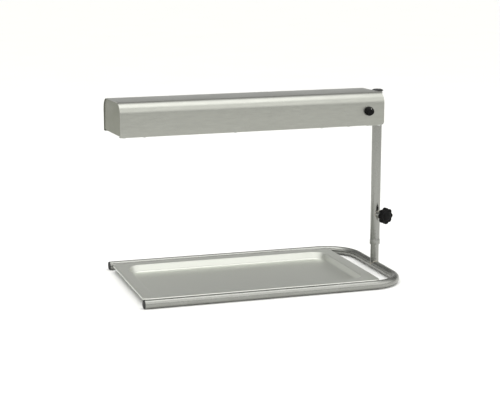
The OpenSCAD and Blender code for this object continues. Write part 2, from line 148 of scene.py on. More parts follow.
class TraySettings(bpy.types.PropertyGroup):
    """The pressed tray."""

    sheet: length("Sheet", "Thickness of the tray's sheet", 0.8)
    rim: length("Rim", "Width of the flat rim", 27)
    fold: length("Fold", "Height of the rim's folded edge", 4)
    draft: length("Draft", "How far the walls lean in", 6)
    rim_corner: length("Rim corner", "Corner radius of the rim's outside", 16)
    well_corner: length("Well corner", "Corner radius of the well at the rim", 30)
    edge_round: length("Edge rounding", "Outside radius where the rim folds down", 2)
    shoulder: length("Shoulder", "Radius between the rim and the wall", 2.6)
    floor_round: length("Floor rounding", "Radius between the wall and the floor", 7)
    crown: length("Crown", "How far the floor rises to its middle", 0.5)


class KnobSettings(bpy.types.PropertyGroup):
    """The clamp knob and the regulator knob."""

    lobes: count("Lobes", "Number of lobes on the clamp knob", 8)
    lobe_depth: length("Lobe depth", "How deep the clamp knob is scalloped", 2.5)
    flutes: count("Flutes", "Number of flutes on the regulator knob", 16)
    flute_depth: length("Flute depth", "How deep the regulator knob is fluted", 0.7)
    thread_pitch: length("Thread pitch", "Pitch of the clamp screw", 1.25)


class HoodSettings(bpy.types.PropertyGroup):
    """The hood and the sheet parts in it."""

    sheet: length("Sheet", "Thickness of the hood's sheet", 1)
    bend: length("Bend", "Outside radius of the two long bends", 24)
    fold: length("Fold", "Outside radius of the folds along the lower edges", 1.8)
    flange: length("Flange", "Width of the flanges along the lower edges", 12)
    end_corner: length("End corner", "Radius of the lower corners at the post's end", 7)
    vents: count("Vents", "Number of slots in the wiring cover", 5)


class LampSettings(bpy.types.PropertyGroup):
    """The lamps, their reflector and the guard."""

    guard_wires: count("Guard wires", "Number of wires across the guard", 11)
    guard_rails: count("Guard rails", "Number of wires along the guard", 4)
    coil_pitch: length("Coil pitch", "Distance from one turn of a filament to the next", 1.3)
    coil_wire: length("Coil wire", "Radius of the filament's wire", 0.22)


class FinishSettings(bpy.types.PropertyGroup):
    """Colours and gloss of the finishes."""

    hood_steel: colour("Hood steel", "Satin steel of the hood", (0.35, 0.354, 0.325))
    # the end plates' colour is darker than the hood's as painted shade, for their faces that turn away from the
    # light
    end_steel: colour("End steel", "Darker satin steel of the end plates", (0.16, 0.165, 0.125))
    tube_steel: colour("Tube steel", "Polished steel of the tubes", (0.295, 0.298, 0.28))
    tray_steel: colour("Tray steel", "Pressed steel of the tray", (0.45, 0.455, 0.41))
    bright_steel: colour("Bright steel", "Screws, nuts and the partition", (0.58, 0.58, 0.56))
    black_plastic: colour("Black plastic", "Knobs, plugs and caps", (0.003, 0.003, 0.003))
    pointer: colour("Pointer", "Line on the regulator knob", (0.42, 0.42, 0.4))
    satin: share("Satin", "Roughness of the hood's finish", 0.3)
    polish: share("Polish", "Roughness of the tubes' finish", 0.26)


class StageSettings(bpy.types.PropertyGroup):
    """The camera, the floor and the lights."""

    azimuth: bpy.props.FloatProperty(
        name="Azimuth", description="Direction of the camera, from the front",
        default=math.radians(-17.84), subtype="ANGLE",
    )
    elevation: bpy.props.FloatProperty(
        name="Elevation", description="Height of the camera over the horizon",
        default=math.radians(10.92), subtype="ANGLE",
    )
    distance: bpy.props.FloatProperty(
        name="Distance", description="From the camera to the point it looks at",
        default=2.883, unit="LENGTH",
    )
    aim: bpy.props.FloatVectorProperty(
        name="Aim", description="Point that the camera looks at",
        default=(0.0096, 0.054, 0.1675), subtype="TRANSLATION",
    )
    lens: bpy.props.FloatProperty(
        name="Lens", description="Focal length for a 36 mm sensor, in millimetres", default=91.9
    )
    floor: colour("Floor", "Colour of the floor", (0.9, 0.9, 0.89))
    top_light: bpy.props.FloatProperty(
        name="Top light", description="Power of the light overhead", default=27, unit="POWER"
    )
    walls: bpy.props.FloatProperty(
        name="Walls", description="Strength of the light from the studio's walls", default=1.0
    )


class WarmerSettings(bpy.types.PropertyGroup):
    """All of the warmer's settings."""

    base: bpy.props.PointerProperty(type=BaseSettings)
    tray: bpy.props.PointerProperty(type=TraySettings)
    knobs: bpy.props.PointerProperty(type=KnobSettings)
    hood: bpy.props.PointerProperty(type=HoodSettings)
    lamps: bpy.props.PointerProperty(type=LampSettings)
    finish: bpy.props.PointerProperty(type=FinishSettings)
    stage: bpy.props.PointerProperty(type=StageSettings)


# ---- outlines ----


def rounded_path(corners, closed=False, steps=6):
    """Points and left-hand normals of a flat path through (x, y, radius) corners."""
    spots = [Vector(c[:2]) for c in corners]
    last = len(corners) - 1
    path = []
    for i, corner in enumerate(corners):
        radius = corner[2] if len(corner) > 2 else 0
        here = spots[i]
        inward = here - spots[i - 1] if i > 0 or closed else None
        outward = spots[(i + 1) % len(spots)] - here if i < last or closed else None
        if inward is None or outward is None:
            along = (outward if inward is None else inward).normalized()
            path.append((here, Vector((-along.y, along.x))))
            continue
        inward.normalize()
        outward.normalize()
        left_in = Vector((-inward.y, inward.x))
        left_out = Vector((-outward.y, outward.x))
        if radius == 0:
            path.append((here, (left_in + left_out) / (1 + left_in.dot(left_out))))
            continue
        bend = math.atan2(inward.cross(outward), inward.dot(outward))
        side = math.copysign(1, bend)
        start = here - inward * (radius * math.tan(abs(bend) / 2))
        centre = start + left_in * (side * radius)
        for k in range(steps + 1):
            spoke = Matrix.Rotation(bend * k / steps, 2) @ (left_in * -side)
            path.append((centre + spoke * radius, spoke * -side))
    return path


def sheet_outline(corners, thickness, inset=0, steps=6):
    """Closed outline of a bent sheet: the path and the same path moved to its right."""
    path = rounded_path(corners, steps=steps)
    outer = [p - n * inset for p, n in path]
    inner = [p - n * (thickness - inset) for p, n in path]
    return outer + inner[::-1]


def ring(radius, height, sides=64):
    """A level circle of points round Z, or one point where the radius is 0."""
    if radius < 1e-7:
        return [(0, 0, height)]
    turns = [TURN * k / sides for k in range(sides)]
    return [(radius * math.cos(a), radius * math.sin(a), height) for a in turns]


def hood_outline(x, inset, hood, half, height, steps=12):
    """The hood's cross section at x, drawn inwards by inset, as a ring of points."""
    corners = [
        (-half + inset, inset, 0.5 * MM), (half - inset, inset, 0.5 * MM),
        (half - inset, height - inset, hood.bend - inset),
        (-half + inset, height - inset, hood.bend - inset),
    ]
    return [(x, p.x, p.y) for p, n in rounded_path(corners, closed=True, steps=steps)]


# ---- meshes ----


def skin(name, rings, place=WORLD, closed=False, sharp=32):
    """A closed mesh over rings of points, capped at both ends unless it closes on itself."""
    shape = bmesh.new()
    rows = [[shape.verts.new(place @ Vector(p)) for p in points] for points in rings]
    pairs = list(zip(rows, rows[1:]))
    if closed:
        pairs.append((rows[-1], rows[0]))
    for low, high in pairs:
        around = max(len(low), len(high))
        for i in range(around):
            j = (i + 1) % around
            corners = [low[i % len(low)], low[j % len(low)], high[j % len(high)], high[i % len(high)]]
            shape.faces.new(list(dict.fromkeys(corners)))
    for end in () if closed else (rows[0], rows[-1]):
        if len(end) > 1:
            shape.faces.new(end)
    bmesh.ops.recalc_face_normals(shape, faces=shape.faces)
    return meshed(name, shape, sharp)


def meshed(name, shape, sharp=32):
    """Turns a bmesh into a mesh that is smooth but for edges sharper than the angle."""
    mesh = bpy.data.meshes.new(name)
    shape.to_mesh(mesh)
    shape.free()
    mesh.shade_smooth()
    mesh.set_sharp_from_angle(angle=math.radians(sharp))
    return mesh


def turned(name, corners, place=WORLD, sides=64, hollow=False, steps=5, sharp=32):
    """A shape turned round Z from (radius, height, rounding) corners."""
    path = rounded_path(corners, closed=hollow, steps=steps)
    return skin(name, [ring(max(p.x, 0), p.y, sides) for p, n in path], place, hollow, sharp)


def scalloped(section, lobes, depth, power, steps, scale=1.0):
    """Rings round Z from (height, radius, share) corners, scalloped by a share of the depth."""
    around = lobes * steps
    rings = []
    for z, r, part in section:
        if r == 0:
            rings.append([(0, 0, z)])
            continue
        points = []
        for i in range(around):
            turn = TURN * i / around
            dip = (0.5 - 0.5 * math.cos(lobes * turn)) ** power
            radius = r * scale - depth * part * dip
            points.append((radius * math.cos(turn), radius * math.sin(turn), z))
        rings.append(points)
    return rings


def folded(name, corners, thickness, start, end, place, steps=6):
    """A bent sheet of (y, z, rounding) corners that runs along X, with eased ends."""
    ease = 0.12 * MM
    stations = [(start, ease), (start + ease, 0), (end - ease, 0), (end, ease)]
    rings = [
        [(x, p.x, p.y) for p in sheet_outline(corners, thickness, inset, steps)]
        for x, inset in stations
    ]
    return skin(name, rings, place, sharp=40)


def joined(name, *meshes):
    """Several meshes as one, each with its own material slots left out."""
    shape = bmesh.new()
    for mesh in meshes:
        shape.from_mesh(mesh)
    return meshed(name, shape)


def scratch_object(mesh):
    """An object that lives only while a mesh is worked on."""
    ob = bpy.data.objects.new(mesh.name, mesh)
    bpy.context.scene.collection.objects.link(ob)
    return ob


def baked(ob, name, modifiers=()):
    """The plain mesh of a scratch object after its modifiers and some (kind, settings) more."""
    for kind, settings in modifiers:
        modifier = ob.modifiers.new(kind.lower(), kind)
        for key, value in settings.items():
            setattr(modifier, key, value)
    graph = bpy.context.evaluated_depsgraph_get()
    result = bpy.data.meshes.new_from_object(ob.evaluated_get(graph), depsgraph=graph)
    bpy.data.objects.remove(ob)
    result.name = name
    result.shade_smooth()
    result.set_sharp_from_angle(angle=math.radians(32))
    return result


def cut_away(mesh, cutters):
    """The mesh after it is cut by other meshes."""
    ob = scratch_object(mesh)
    tools = [scratch_object(cutter) for cutter in cutters]
    cuts = [
        ("BOOLEAN", {"operation": "DIFFERENCE", "solver": "EXACT", "object": tool})
        for tool in tools
    ]
    result = baked(ob, mesh.name, cuts)
    for tool in tools:
        bpy.data.objects.remove(tool)
    return result


def eased_copy(node, width, segments=2):
    """A copy of a CAD node's mesh with its doubles merged and its edges eased."""
    shape = bmesh.new()
    shape.from_mesh(frame["nodes"][node].data)
    bmesh.ops.remove_doubles(shape, verts=shape.verts, dist=2e-6)
    bmesh.ops.dissolve_limit(
        shape, angle_limit=math.radians(0.6), verts=shape.verts, edges=shape.edges
    )
    plain = meshed(node + "_eased", shape)
    easing = {
        "width": width, "segments": segments, "limit_method": "ANGLE",
        "angle_limit": math.radians(40), "use_clamp_overlap": True,
    }
    return baked(scratch_object(plain), plain.name, [("BEVEL", easing)])


def install(name, mesh, body, materials, nodes=()):
    """Puts a finished mesh in the scene: its finish, the body it rides on, what it stands for."""
    mesh.name = name
    mesh.materials.clear()
    for material in materials:
        mesh.materials.append(material)
    piece = bpy.data.objects.new(name, mesh)
    bpy.context.scene.collection.objects.link(piece)
    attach(piece, body)
    if nodes:
        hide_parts(*nodes)
    return piece


def paint(node, material):
    """Gives a CAD node that stays as it is its finish."""
    for slot in frame["nodes"][node].material_slots:
        slot.material = material


# ---- geometry nodes ----


def node(tree, kind, inputs=None, **settings):
    """Adds a node, with its settings, and its inputs linked or set."""
    made = tree.nodes.new(kind)
    for key, value in settings.items():
        setattr(made, key, value)
    for key, value in (inputs or {}).items():
        if isinstance(value, bpy.types.NodeSocket):
            tree.links.new(value, made.inputs[key])
        else:
            made.inputs[key].default_value = value
    return made


def shape_tree(name, inputs):
    """An empty geometry tree with named inputs, and its input and output nodes."""
    tree = bpy.data.node_groups.new(name, "GeometryNodeTree")
    tree.interface.new_socket("Geometry", in_out="INPUT", socket_type="NodeSocketGeometry")
    for label, kind in inputs.items():
        tree.interface.new_socket(label, in_out="INPUT", socket_type="NodeSocket" + kind)
    tree.interface.new_socket("Geometry", in_out="OUTPUT", socket_type="NodeSocketGeometry")
    return tree, tree.nodes.new("NodeGroupInput").outputs, tree.nodes.new("NodeGroupOutput")


def end_tree(tree, geometry, material, end):
    """Ends a tree as a plain mesh with its finish."""
    solid = node(tree, "GeometryNodeRealizeInstances", {"Geometry": geometry})
    done = node(
        tree, "GeometryNodeSetMaterial", {"Geometry": solid.outputs[0], "Material": material}
    )
    tree.links.new(done.outputs[0], end.inputs[0])
    return tree


def swept(tree, curve, radius, sides):
    """A round bar along a curve, capped at its ends."""
    profile = node(
        tree, "GeometryNodeCurvePrimitiveCircle", {"Resolution": sides, "Radius": radius}
    )
    bar = node(
        tree, "GeometryNodeCurveToMesh",
        {"Curve": curve, "Profile Curve": profile.outputs["Curve"], "Fill Caps": True},
    )
    return bar.outputs[0]


def arithmetic(tree, operation, *values):
    """A math node's result."""
    inputs = dict(enumerate(values))
    return node(tree, "ShaderNodeMath", inputs, operation=operation).outputs[0]


def vector(tree, **parts):
    """A vector from its X, Y and Z."""
    return node(tree, "ShaderNodeCombineXYZ", parts).outputs[0]


def tube_tree():
    """A tube's skin along a path of straight edges, its corners bent to a radius."""
    tree, given, end = shape_tree("Bent tube", {
        "Radius": "Float", "Bend radius": "Float", "Bend steps": "Int", "Sides": "Int",
        "Material": "Material",
    })
    line = node(tree, "GeometryNodeMeshToCurve", {"Mesh": given["Geometry"]})
    bent = node(tree, "GeometryNodeFilletCurve", {
        "Curve": line.outputs[0], "Radius": given["Bend radius"], "Count": given["Bend steps"],
        "Limit Radius": True,
    }, mode="POLY")
    distance = node(tree, "GeometryNodeSplineParameter").outputs["Length"]
    measured = node(tree, "GeometryNodeCaptureAttribute", {"Geometry": bent.outputs[0]})
    measured.capture_items.new("FLOAT", "Distance")
    tree.links.new(distance, measured.inputs["Distance"])
    circle = node(tree, "GeometryNodeCurvePrimitiveCircle", {
        "Resolution": given["Sides"], "Radius": given["Radius"],
    })
    around = node(tree, "GeometryNodeCaptureAttribute", {"Geometry": circle.outputs["Curve"]})
    around.capture_items.new("VECTOR", "Spot")
    tree.links.new(node(tree, "GeometryNodeInputPosition").outputs[0], around.inputs["Spot"])
    wall = node(tree, "GeometryNodeCurveToMesh", {
        "Curve": measured.outputs["Geometry"], "Profile Curve": around.outputs["Geometry"],
    })
    spot = node(tree, "ShaderNodeSeparateXYZ", {0: around.outputs["Spot"]})
    straightened = vector(
        tree, X=measured.outputs["Distance"], Y=spot.outputs[0], Z=spot.outputs[1]
    )
    stored = node(tree, "GeometryNodeStoreNamedAttribute", {
        "Geometry": wall.outputs[0], "Name": "grain", "Value": straightened,
    }, data_type="FLOAT_VECTOR")
    return end_tree(tree, stored.outputs[0], given["Material"], end)


def weld_tree():
    """A rippled bead of weld metal along a closed line."""
    tree, given, end = shape_tree("Weld bead", {
        "Radius": "Float", "Ripple": "Float", "Step": "Float", "Material": "Material",
    })
    line = node(tree, "GeometryNodeMeshToCurve", {"Mesh": given["Geometry"]})
    even = node(tree, "GeometryNodeResampleCurve", {
        "Curve": line.outputs[0], "Length": given["Step"],
    }, mode="LENGTH")
    run = node(tree, "GeometryNodeSplineParameter").outputs["Length"]
    phase = arithmetic(tree, "MULTIPLY", arithmetic(tree, "DIVIDE", run, given["Ripple"]), TURN)
    swell = arithmetic(tree, "MULTIPLY_ADD", arithmetic(tree, "SINE", phase), 0.14, 1.0)
    uneven = node(tree, "ShaderNodeTexNoise", {"Scale": 260.0, "Detail": 2.0}, noise_dimensions="3D")
    wander = arithmetic(tree, "MULTIPLY_ADD", uneven.outputs[0], 0.3, 0.85)
    size = arithmetic(tree, "MULTIPLY", swell, wander)
    sized = node(tree, "GeometryNodeSetCurveRadius", {"Curve": even.outputs[0], "Radius": size})
    bead = swept(tree, sized.outputs[0], given["Radius"], 10)
    smooth = node(tree, "GeometryNodeSetShadeSmooth", {"Geometry": bead})
    return end_tree(tree, smooth.outputs[0], given["Material"], end)


def setting_out_tree():
    """One part set out on points, each turned to the point's aim and spun at random."""
    tree, given, end = shape_tree("Set out on points", {
        "Part": "Object", "Spin": "Float", "Seed": "Int", "Material": "Material",
    })
    part = node(tree, "GeometryNodeObjectInfo", {"Object": given["Part"]})
    aim = node(
        tree, "GeometryNodeInputNamedAttribute", {"Name": "aim"}, data_type="FLOAT_VECTOR"
    )
    upright = node(tree, "FunctionNodeAlignRotationToVector", {
        "Vector": aim.outputs["Attribute"],
    }, axis="Z")
    spin = node(tree, "FunctionNodeRandomValue", {
        "Min": 0.0, "Max": given["Spin"], "Seed": given["Seed"],
    }, data_type="FLOAT")
    roll = node(tree, "FunctionNodeAxisAngleToRotation", {
        "Axis": (0, 0, 1), "Angle": spin.outputs["Value"],
    })
    both = node(tree, "FunctionNodeRotateRotation", {
        "Rotation": upright.outputs[0], "Rotate By": roll.outputs[0],
    }, rotation_space="LOCAL")
    placed = node(tree, "GeometryNodeInstanceOnPoints", {
        "Points": given["Geometry"], "Instance": part.outputs["Geometry"],
        "Rotation": both.outputs[0],
    })
    return end_tree(tree, placed.outputs[0], given["Material"], end)


def guard_tree():
    """A guard of wires along Y, with rails along X welded under or over them."""
    tree, given, end = shape_tree("Wire guard", {
        "Length": "Float", "Width": "Float", "Wires": "Int", "Rails": "Int",
        "Rail spread": "Float", "Wire radius": "Float", "Rail rise": "Float",
        "Material": "Material",
    })

    def row(number, spread, direction, rise, bar):
        """Bars set out side by side, centred on the origin."""
        gaps = arithmetic(tree, "SUBTRACT", number, 1.0)
        step = arithmetic(tree, "DIVIDE", spread, gaps)
        first = arithmetic(tree, "MULTIPLY", spread, -0.5)
        line = node(tree, "GeometryNodeMeshLine", {
            "Count": number, "Start Location": vector(tree, **{direction: first, "Z": rise}),
            "Offset": vector(tree, **{direction: step}),
        })
        return node(tree, "GeometryNodeInstanceOnPoints", {
            "Points": line.outputs[0], "Instance": bar,
        }).outputs[0]

    def bar(direction, size):
        """A wire centred on the origin."""
        half = arithmetic(tree, "MULTIPLY", size, 0.5)
        other = arithmetic(tree, "MULTIPLY", size, -0.5)
        line = node(tree, "GeometryNodeCurvePrimitiveLine", {
            "Start": vector(tree, **{direction: other}), "End": vector(tree, **{direction: half}),
        })
        return swept(tree, line.outputs[0], given["Wire radius"], 16)

    wires = row(given["Wires"], given["Length"], "X", 0.0, bar("Y", given["Width"]))
    overhang = arithmetic(tree, "MULTIPLY_ADD", given["Wire radius"], 3.2, given["Length"])
    rails = row(
        given["Rails"], given["Rail spread"], "Y", given["Rail rise"], bar("X", overhang)
    )
    both = node(tree, "GeometryNodeJoinGeometry")
    tree.links.new(wires, both.inputs[0])
    tree.links.new(rails, both.inputs[0])
    return end_tree(tree, both.outputs[0], given["Material"], end)


def coil_tree():
    """A close coil of fine wire along Z, centred on the origin."""
    tree, given, end = shape_tree("Heating coil", {
        "Radius": "Float", "Length": "Float", "Pitch": "Float", "Wire radius": "Float",
        "Material": "Material",
    })
    turns = arithmetic(tree, "DIVIDE", given["Length"], given["Pitch"])
    helix = node(tree, "GeometryNodeCurveSpiral", {
        "Resolution": 12, "Rotations": turns, "Start Radius": given["Radius"],
        "End Radius": given["Radius"], "Height": given["Length"],
    })
    wire = swept(tree, helix.outputs[0], given["Wire radius"], 5)
    low = arithmetic(tree, "MULTIPLY", given["Length"], -0.5)
    centred = node(
        tree, "GeometryNodeTransform", {"Geometry": wire, "Translation": vector(tree, Z=low)}
    )
    smooth = node(tree, "GeometryNodeSetShadeSmooth", {"Geometry": centred.outputs[0]})
    return end_tree(tree, smooth.outputs[0], given["Material"], end)


def slotted_tree():
    """A plate in the XY plane with a row of round-ended slots cut along Y."""
    tree, given, end = shape_tree("Slotted plate", {
        "Length": "Float", "Width": "Float", "Sheet": "Float", "Slots": "Int",
        "Slot width": "Float", "Slot length": "Float", "Slot step": "Float",
        "Material": "Material",
    })
    plate = node(tree, "GeometryNodeMeshCube", {
        "Size": vector(tree, X=given["Length"], Y=given["Width"], Z=given["Sheet"]),
    })
    tall = arithmetic(tree, "MULTIPLY", given["Sheet"], 3.0)
    radius = arithmetic(tree, "MULTIPLY", given["Slot width"], 0.5)
    straight = arithmetic(tree, "SUBTRACT", given["Slot length"], given["Slot width"])
    middle = node(tree, "GeometryNodeMeshCube", {
        "Size": vector(tree, X=given["Slot width"], Y=straight, Z=tall),
    })
    round_end = node(tree, "GeometryNodeMeshCylinder", {
        "Vertices": 32, "Radius": radius, "Depth": tall,
    })
    ends = node(tree, "GeometryNodeMeshLine", {
        "Count": 2,
        "Start Location": vector(tree, Y=arithmetic(tree, "MULTIPLY", straight, -0.5)),
        "Offset": vector(tree, Y=straight),
    })
    caps = node(tree, "GeometryNodeInstanceOnPoints", {
        "Points": ends.outputs[0], "Instance": round_end.outputs[0],
    })
    slot = node(tree, "GeometryNodeMeshBoolean", operation="UNION", solver="EXACT")
    tree.links.new(middle.outputs[0], slot.inputs["Mesh 2"])
    tree.links.new(caps.outputs[0], slot.inputs["Mesh 2"])
    gaps = arithmetic(tree, "SUBTRACT", given["Slots"], 1.0)
    run = arithmetic(tree, "MULTIPLY", gaps, given["Slot step"])
    places = node(tree, "GeometryNodeMeshLine", {
        "Count": given["Slots"],
        "Start Location": vector(tree, X=arithmetic(tree, "MULTIPLY", run, -0.5)),
        "Offset": vector(tree, X=given["Slot step"]),
    })
    slots = node(tree, "GeometryNodeInstanceOnPoints", {
        "Points": places.outputs[0], "Instance": slot.outputs[0],
    })
    cut = node(tree, "GeometryNodeMeshBoolean", {
        "Mesh 1": plate.outputs[0], "Mesh 2": slots.outputs[0],
    }, operation="DIFFERENCE", solver="EXACT")
    return end_tree(tree, cut.outputs[0], given["Material"], end)


def grown(name, make_tree, values, base=None, modifiers=()):
    """The plain mesh that a tree grows from a base mesh, after any other modifiers."""
    ob = scratch_object(base or bpy.data.meshes.new(name))
    tree = bpy.data.node_groups.get(make_tree.__name__) or make_tree()
    tree.name = make_tree.__name__
    growth = ob.modifiers.new("growth", "NODES")
    growth.node_group = tree
    for socket in tree.interface.items_tree:
        if socket.in_out == "INPUT" and socket.name in values:
            growth[socket.identifier] = values[socket.name]
    return baked(ob, name, modifiers)


def wire_line(points, closed=False):
    """A mesh of edges through points, for a tree to follow."""
    edges = [(i, i + 1) for i in range(len(points) - 1)]
    if closed:
        edges.append((len(points) - 1, 0))
    mesh = bpy.data.meshes.new("line")
    mesh.from_pydata(points, edges, [])
    return mesh


def set_out(name, part, spots, material, spin=0.0, seed=1):
    """The part's mesh repeated on (place, aim) spots."""
    points = bpy.data.meshes.new("spots")
    points.from_pydata([place for place, aim in spots], [], [])
    aims = points.attributes.new("aim", "FLOAT_VECTOR", "POINT")
    for entry, (place, aim) in zip(aims.data, spots):
        entry.vector = aim
    model = scratch_object(part)
    values = {"Part": model, "Spin": spin, "Seed": seed, "Material": material}
    result = grown(name, setting_out_tree, values, points)
    bpy.data.objects.remove(model)
    return result


# ---- finishes ----


def effect(name, inputs, outputs):
    """An empty shader group with named sockets, and its input and output nodes."""
    tree = bpy.data.node_groups.new(name, "ShaderNodeTree")
    for label, kind in inputs.items():
        tree.interface.new_socket(label, in_out="INPUT", socket_type="NodeSocket" + kind)
    for label in outputs:
        tree.interface.new_socket(label, in_out="OUTPUT", socket_type="NodeSocketFloat")
    return tree, tree.nodes.new("NodeGroupInput").outputs, tree.nodes.new("NodeGroupOutput")


def noise(tree, spot, scale, detail=3.0, roughness=0.55):
    """A noise texture's value."""
    made = node(tree, "ShaderNodeTexNoise", {
        "Vector": spot, "Scale": scale, "Detail": detail, "Roughness": roughness,
    })
    return made.outputs[0]


def ranged(tree, value, low, high, start=0.0, stop=1.0):
    """A value moved from the range start to stop to the range low to high, and clamped."""
    return node(tree, "ShaderNodeMapRange", {
        "Value": value, "From Min": start, "From Max": stop, "To Min": low, "To Max": high,
    }).outputs[0]


def brushed_effect():
    """Fine lines and broader streaks along X, as a belt leaves them on metal."""
    tree, given, end = effect(
        "Brushed lines", {"Vector": "Vector", "Along": "Float", "Across": "Float"},
        ("Lines", "Streaks"),
    )
    for label, share_across, detail in (("Lines", 1.0, 3.0), ("Streaks", 0.09, 2.0)):
        across = arithmetic(tree, "MULTIPLY", given["Across"], share_across)
        scale = vector(tree, X=given["Along"], Y=across, Z=across)
        stretched = node(
            tree, "ShaderNodeVectorMath", {0: given["Vector"], 1: scale}, operation="MULTIPLY"
        )
        value = noise(tree, stretched.outputs[0], 1.0, detail)
        tree.links.new(ranged(tree, value, 0.0, 1.0, 0.25, 0.75), end.inputs[label])
    return tree


def handling_effect():
    """Soft smudges, and a few hairline scratches that run every way."""
    tree, given, end = effect(
        "Handling marks", {"Vector": "Vector", "Size": "Float"}, ("Smudge", "Scratch")
    )
    scaled = node(tree, "ShaderNodeVectorMath", {
        0: given["Vector"], "Scale": given["Size"],
    }, operation="SCALE").outputs[0]
    smudge = noise(tree, scaled, 1.0, 4.0, 0.6)
    tree.links.new(ranged(tree, smudge, 0.0, 1.0, 0.42, 0.72), end.inputs["Smudge"])
    warped = noise(tree, scaled, 3.0, 1.0)
    hair = node(tree, "ShaderNodeTexWave", {
        "Vector": scaled, "Scale": 9.0, "Distortion": 28.0, "Detail": 1.0, "Phase Offset": warped,
    })
    line = ranged(tree, hair.outputs["Fac"], 0.0, 1.0, 0.985, 1.0)
    patch = ranged(tree, noise(tree, scaled, 2.2, 1.0), 0.0, 1.0, 0.55, 0.7)
    tree.links.new(arithmetic(tree, "MULTIPLY", line, patch), end.inputs["Scratch"])
    return tree


def moulded_effect():
    """The fine spark-eroded grain of a moulding, and its faint flow mottle."""
    tree, given, end = effect(
        "Moulded grain", {"Vector": "Vector", "Pitch": "Float"}, ("Grain", "Mottle")
    )
    scaled = node(tree, "ShaderNodeVectorMath", {
        0: given["Vector"], "Scale": given["Pitch"],
    }, operation="SCALE").outputs[0]
    cells = node(tree, "ShaderNodeTexVoronoi", {"Vector": scaled, "Scale": 1.0}).outputs[0]
    tree.links.new(cells, end.inputs["Grain"])
    tree.links.new(noise(tree, scaled, 0.06, 2.0), end.inputs["Mottle"])
    return tree


def worn_effect():
    """Where an edge stands out and hands or tools have rubbed it."""
    tree, given, end = effect(
        "Edge wear", {"Vector": "Vector", "Amount": "Float"}, ("Wear",)
    )
    edge = node(tree, "ShaderNodeNewGeometry").outputs["Pointiness"]
    sharp = ranged(tree, edge, 0.0, 1.0, 0.52, 0.62)
    broken = ranged(tree, noise(tree, given["Vector"], 420.0), 0.2, 1.0, 0.35, 0.65)
    rubbed = arithmetic(tree, "MULTIPLY", sharp, broken)
    tree.links.new(arithmetic(tree, "MULTIPLY", rubbed, given["Amount"]), end.inputs["Wear"])
    return tree


def use(tree, make_effect, inputs):
    """Places an effect's group in a material, building it the first time."""
    group = bpy.data.node_groups.get(make_effect.__name__) or make_effect()
    group.name = make_effect.__name__
    placed = tree.nodes.new("ShaderNodeGroup")
    placed.node_tree = group
    for key, value in inputs.items():
        if isinstance(value, bpy.types.NodeSocket):
            tree.links.new(value, placed.inputs[key])
        else:
            placed.inputs[key].default_value = value
    return placed.outputs


def surface(tree, grain):
    """The coordinates that a finish follows: a frame whose X is the grain, or an attribute."""
    if isinstance(grain, str):
        return node(tree, "ShaderNodeAttribute", attribute_name=grain).outputs["Vector"]
    spot = node(tree, "ShaderNodeTexCoord").outputs["Object"]
    back = grain.inverted()
    return node(tree, "ShaderNodeMapping", {
        "Vector": spot, "Rotation": back.to_euler(), "Location": back.translation,
    }).outputs[0]


def blank(name, base):
    """A material with a Principled shader, and the tree and shader to build on."""
    material = bpy.data.materials.get(name)
    fresh = material is None
    if fresh:
        material = bpy.data.materials.new(name)
        material.use_nodes = True
        material.diffuse_color = (*base, 1)
    tree = material.node_tree
    return material, tree, tree.nodes.get("Principled BSDF"), fresh


def tinted(tree, factor, *stops):
    """A colour from a factor, by (position, colour) stops."""
    ramp = node(tree, "ShaderNodeValToRGB", {"Fac": factor})
    elements = ramp.color_ramp.elements
    while len(elements) < len(stops):
        elements.new(0.5)
    for element, (position, rgb) in zip(elements, stops):
        element.position = position
        element.color = (*rgb, 1)
    return ramp.outputs[0]


def greys(tree, factor, *stops):
    """A very slightly warm grey from a factor, by (position, brightness) stops."""
    return tinted(tree, factor, *[(at, (grey, grey, grey * 0.98)) for at, grey in stops])


def scaled_colour(rgb, factor):
    """A colour made lighter or darker."""
    return tuple(min(channel * factor, 1.0) for channel in rgb)


def relief(tree, height, depth):
    """A bump of the height map at a depth in metres."""
    return node(tree, "ShaderNodeBump", {"Height": height, "Distance": depth}).outputs[0]


def brushed_metal(name, rgb, roughness, grain, across=2600.0, along=40.0, depth=0.012, contrast=0.08):
    """Metal with lines along its grain, streaks, smudges and hairline scratches."""
    material, tree, shader, fresh = blank(name, rgb)
    if not fresh:
        return material
    spot = surface(tree, grain)
    brush = use(tree, brushed_effect, {"Vector": spot, "Along": along, "Across": across})
    marks = use(tree, handling_effect, {"Vector": spot, "Size": 14.0})
    tone = arithmetic(tree, "MULTIPLY_ADD", brush["Streaks"], 0.6, 0.0)
    tone = arithmetic(tree, "MULTIPLY_ADD", brush["Lines"], 0.4, tone)
    dark = scaled_colour(rgb, 1 - contrast)
    light = scaled_colour(rgb, 1 + contrast)
    tree.links.new(tinted(tree, tone, (0, dark), (1, light)), shader.inputs["Base Color"])
    gloss = arithmetic(tree, "MULTIPLY_ADD", brush["Lines"], 0.07, roughness - 0.04)
    gloss = arithmetic(tree, "MULTIPLY_ADD", marks["Smudge"], 0.05, gloss)
    gloss = arithmetic(tree, "MULTIPLY_ADD", marks["Scratch"], -0.12, gloss)
    tree.links.new(gloss, shader.inputs["Roughness"])
    height = arithmetic(tree, "MULTIPLY_ADD", marks["Scratch"], -0.5, brush["Lines"])
    tree.links.new(relief(tree, height, depth * MM), shader.inputs["Normal"])
    shader.inputs["Metallic"].default_value = 1
    return material


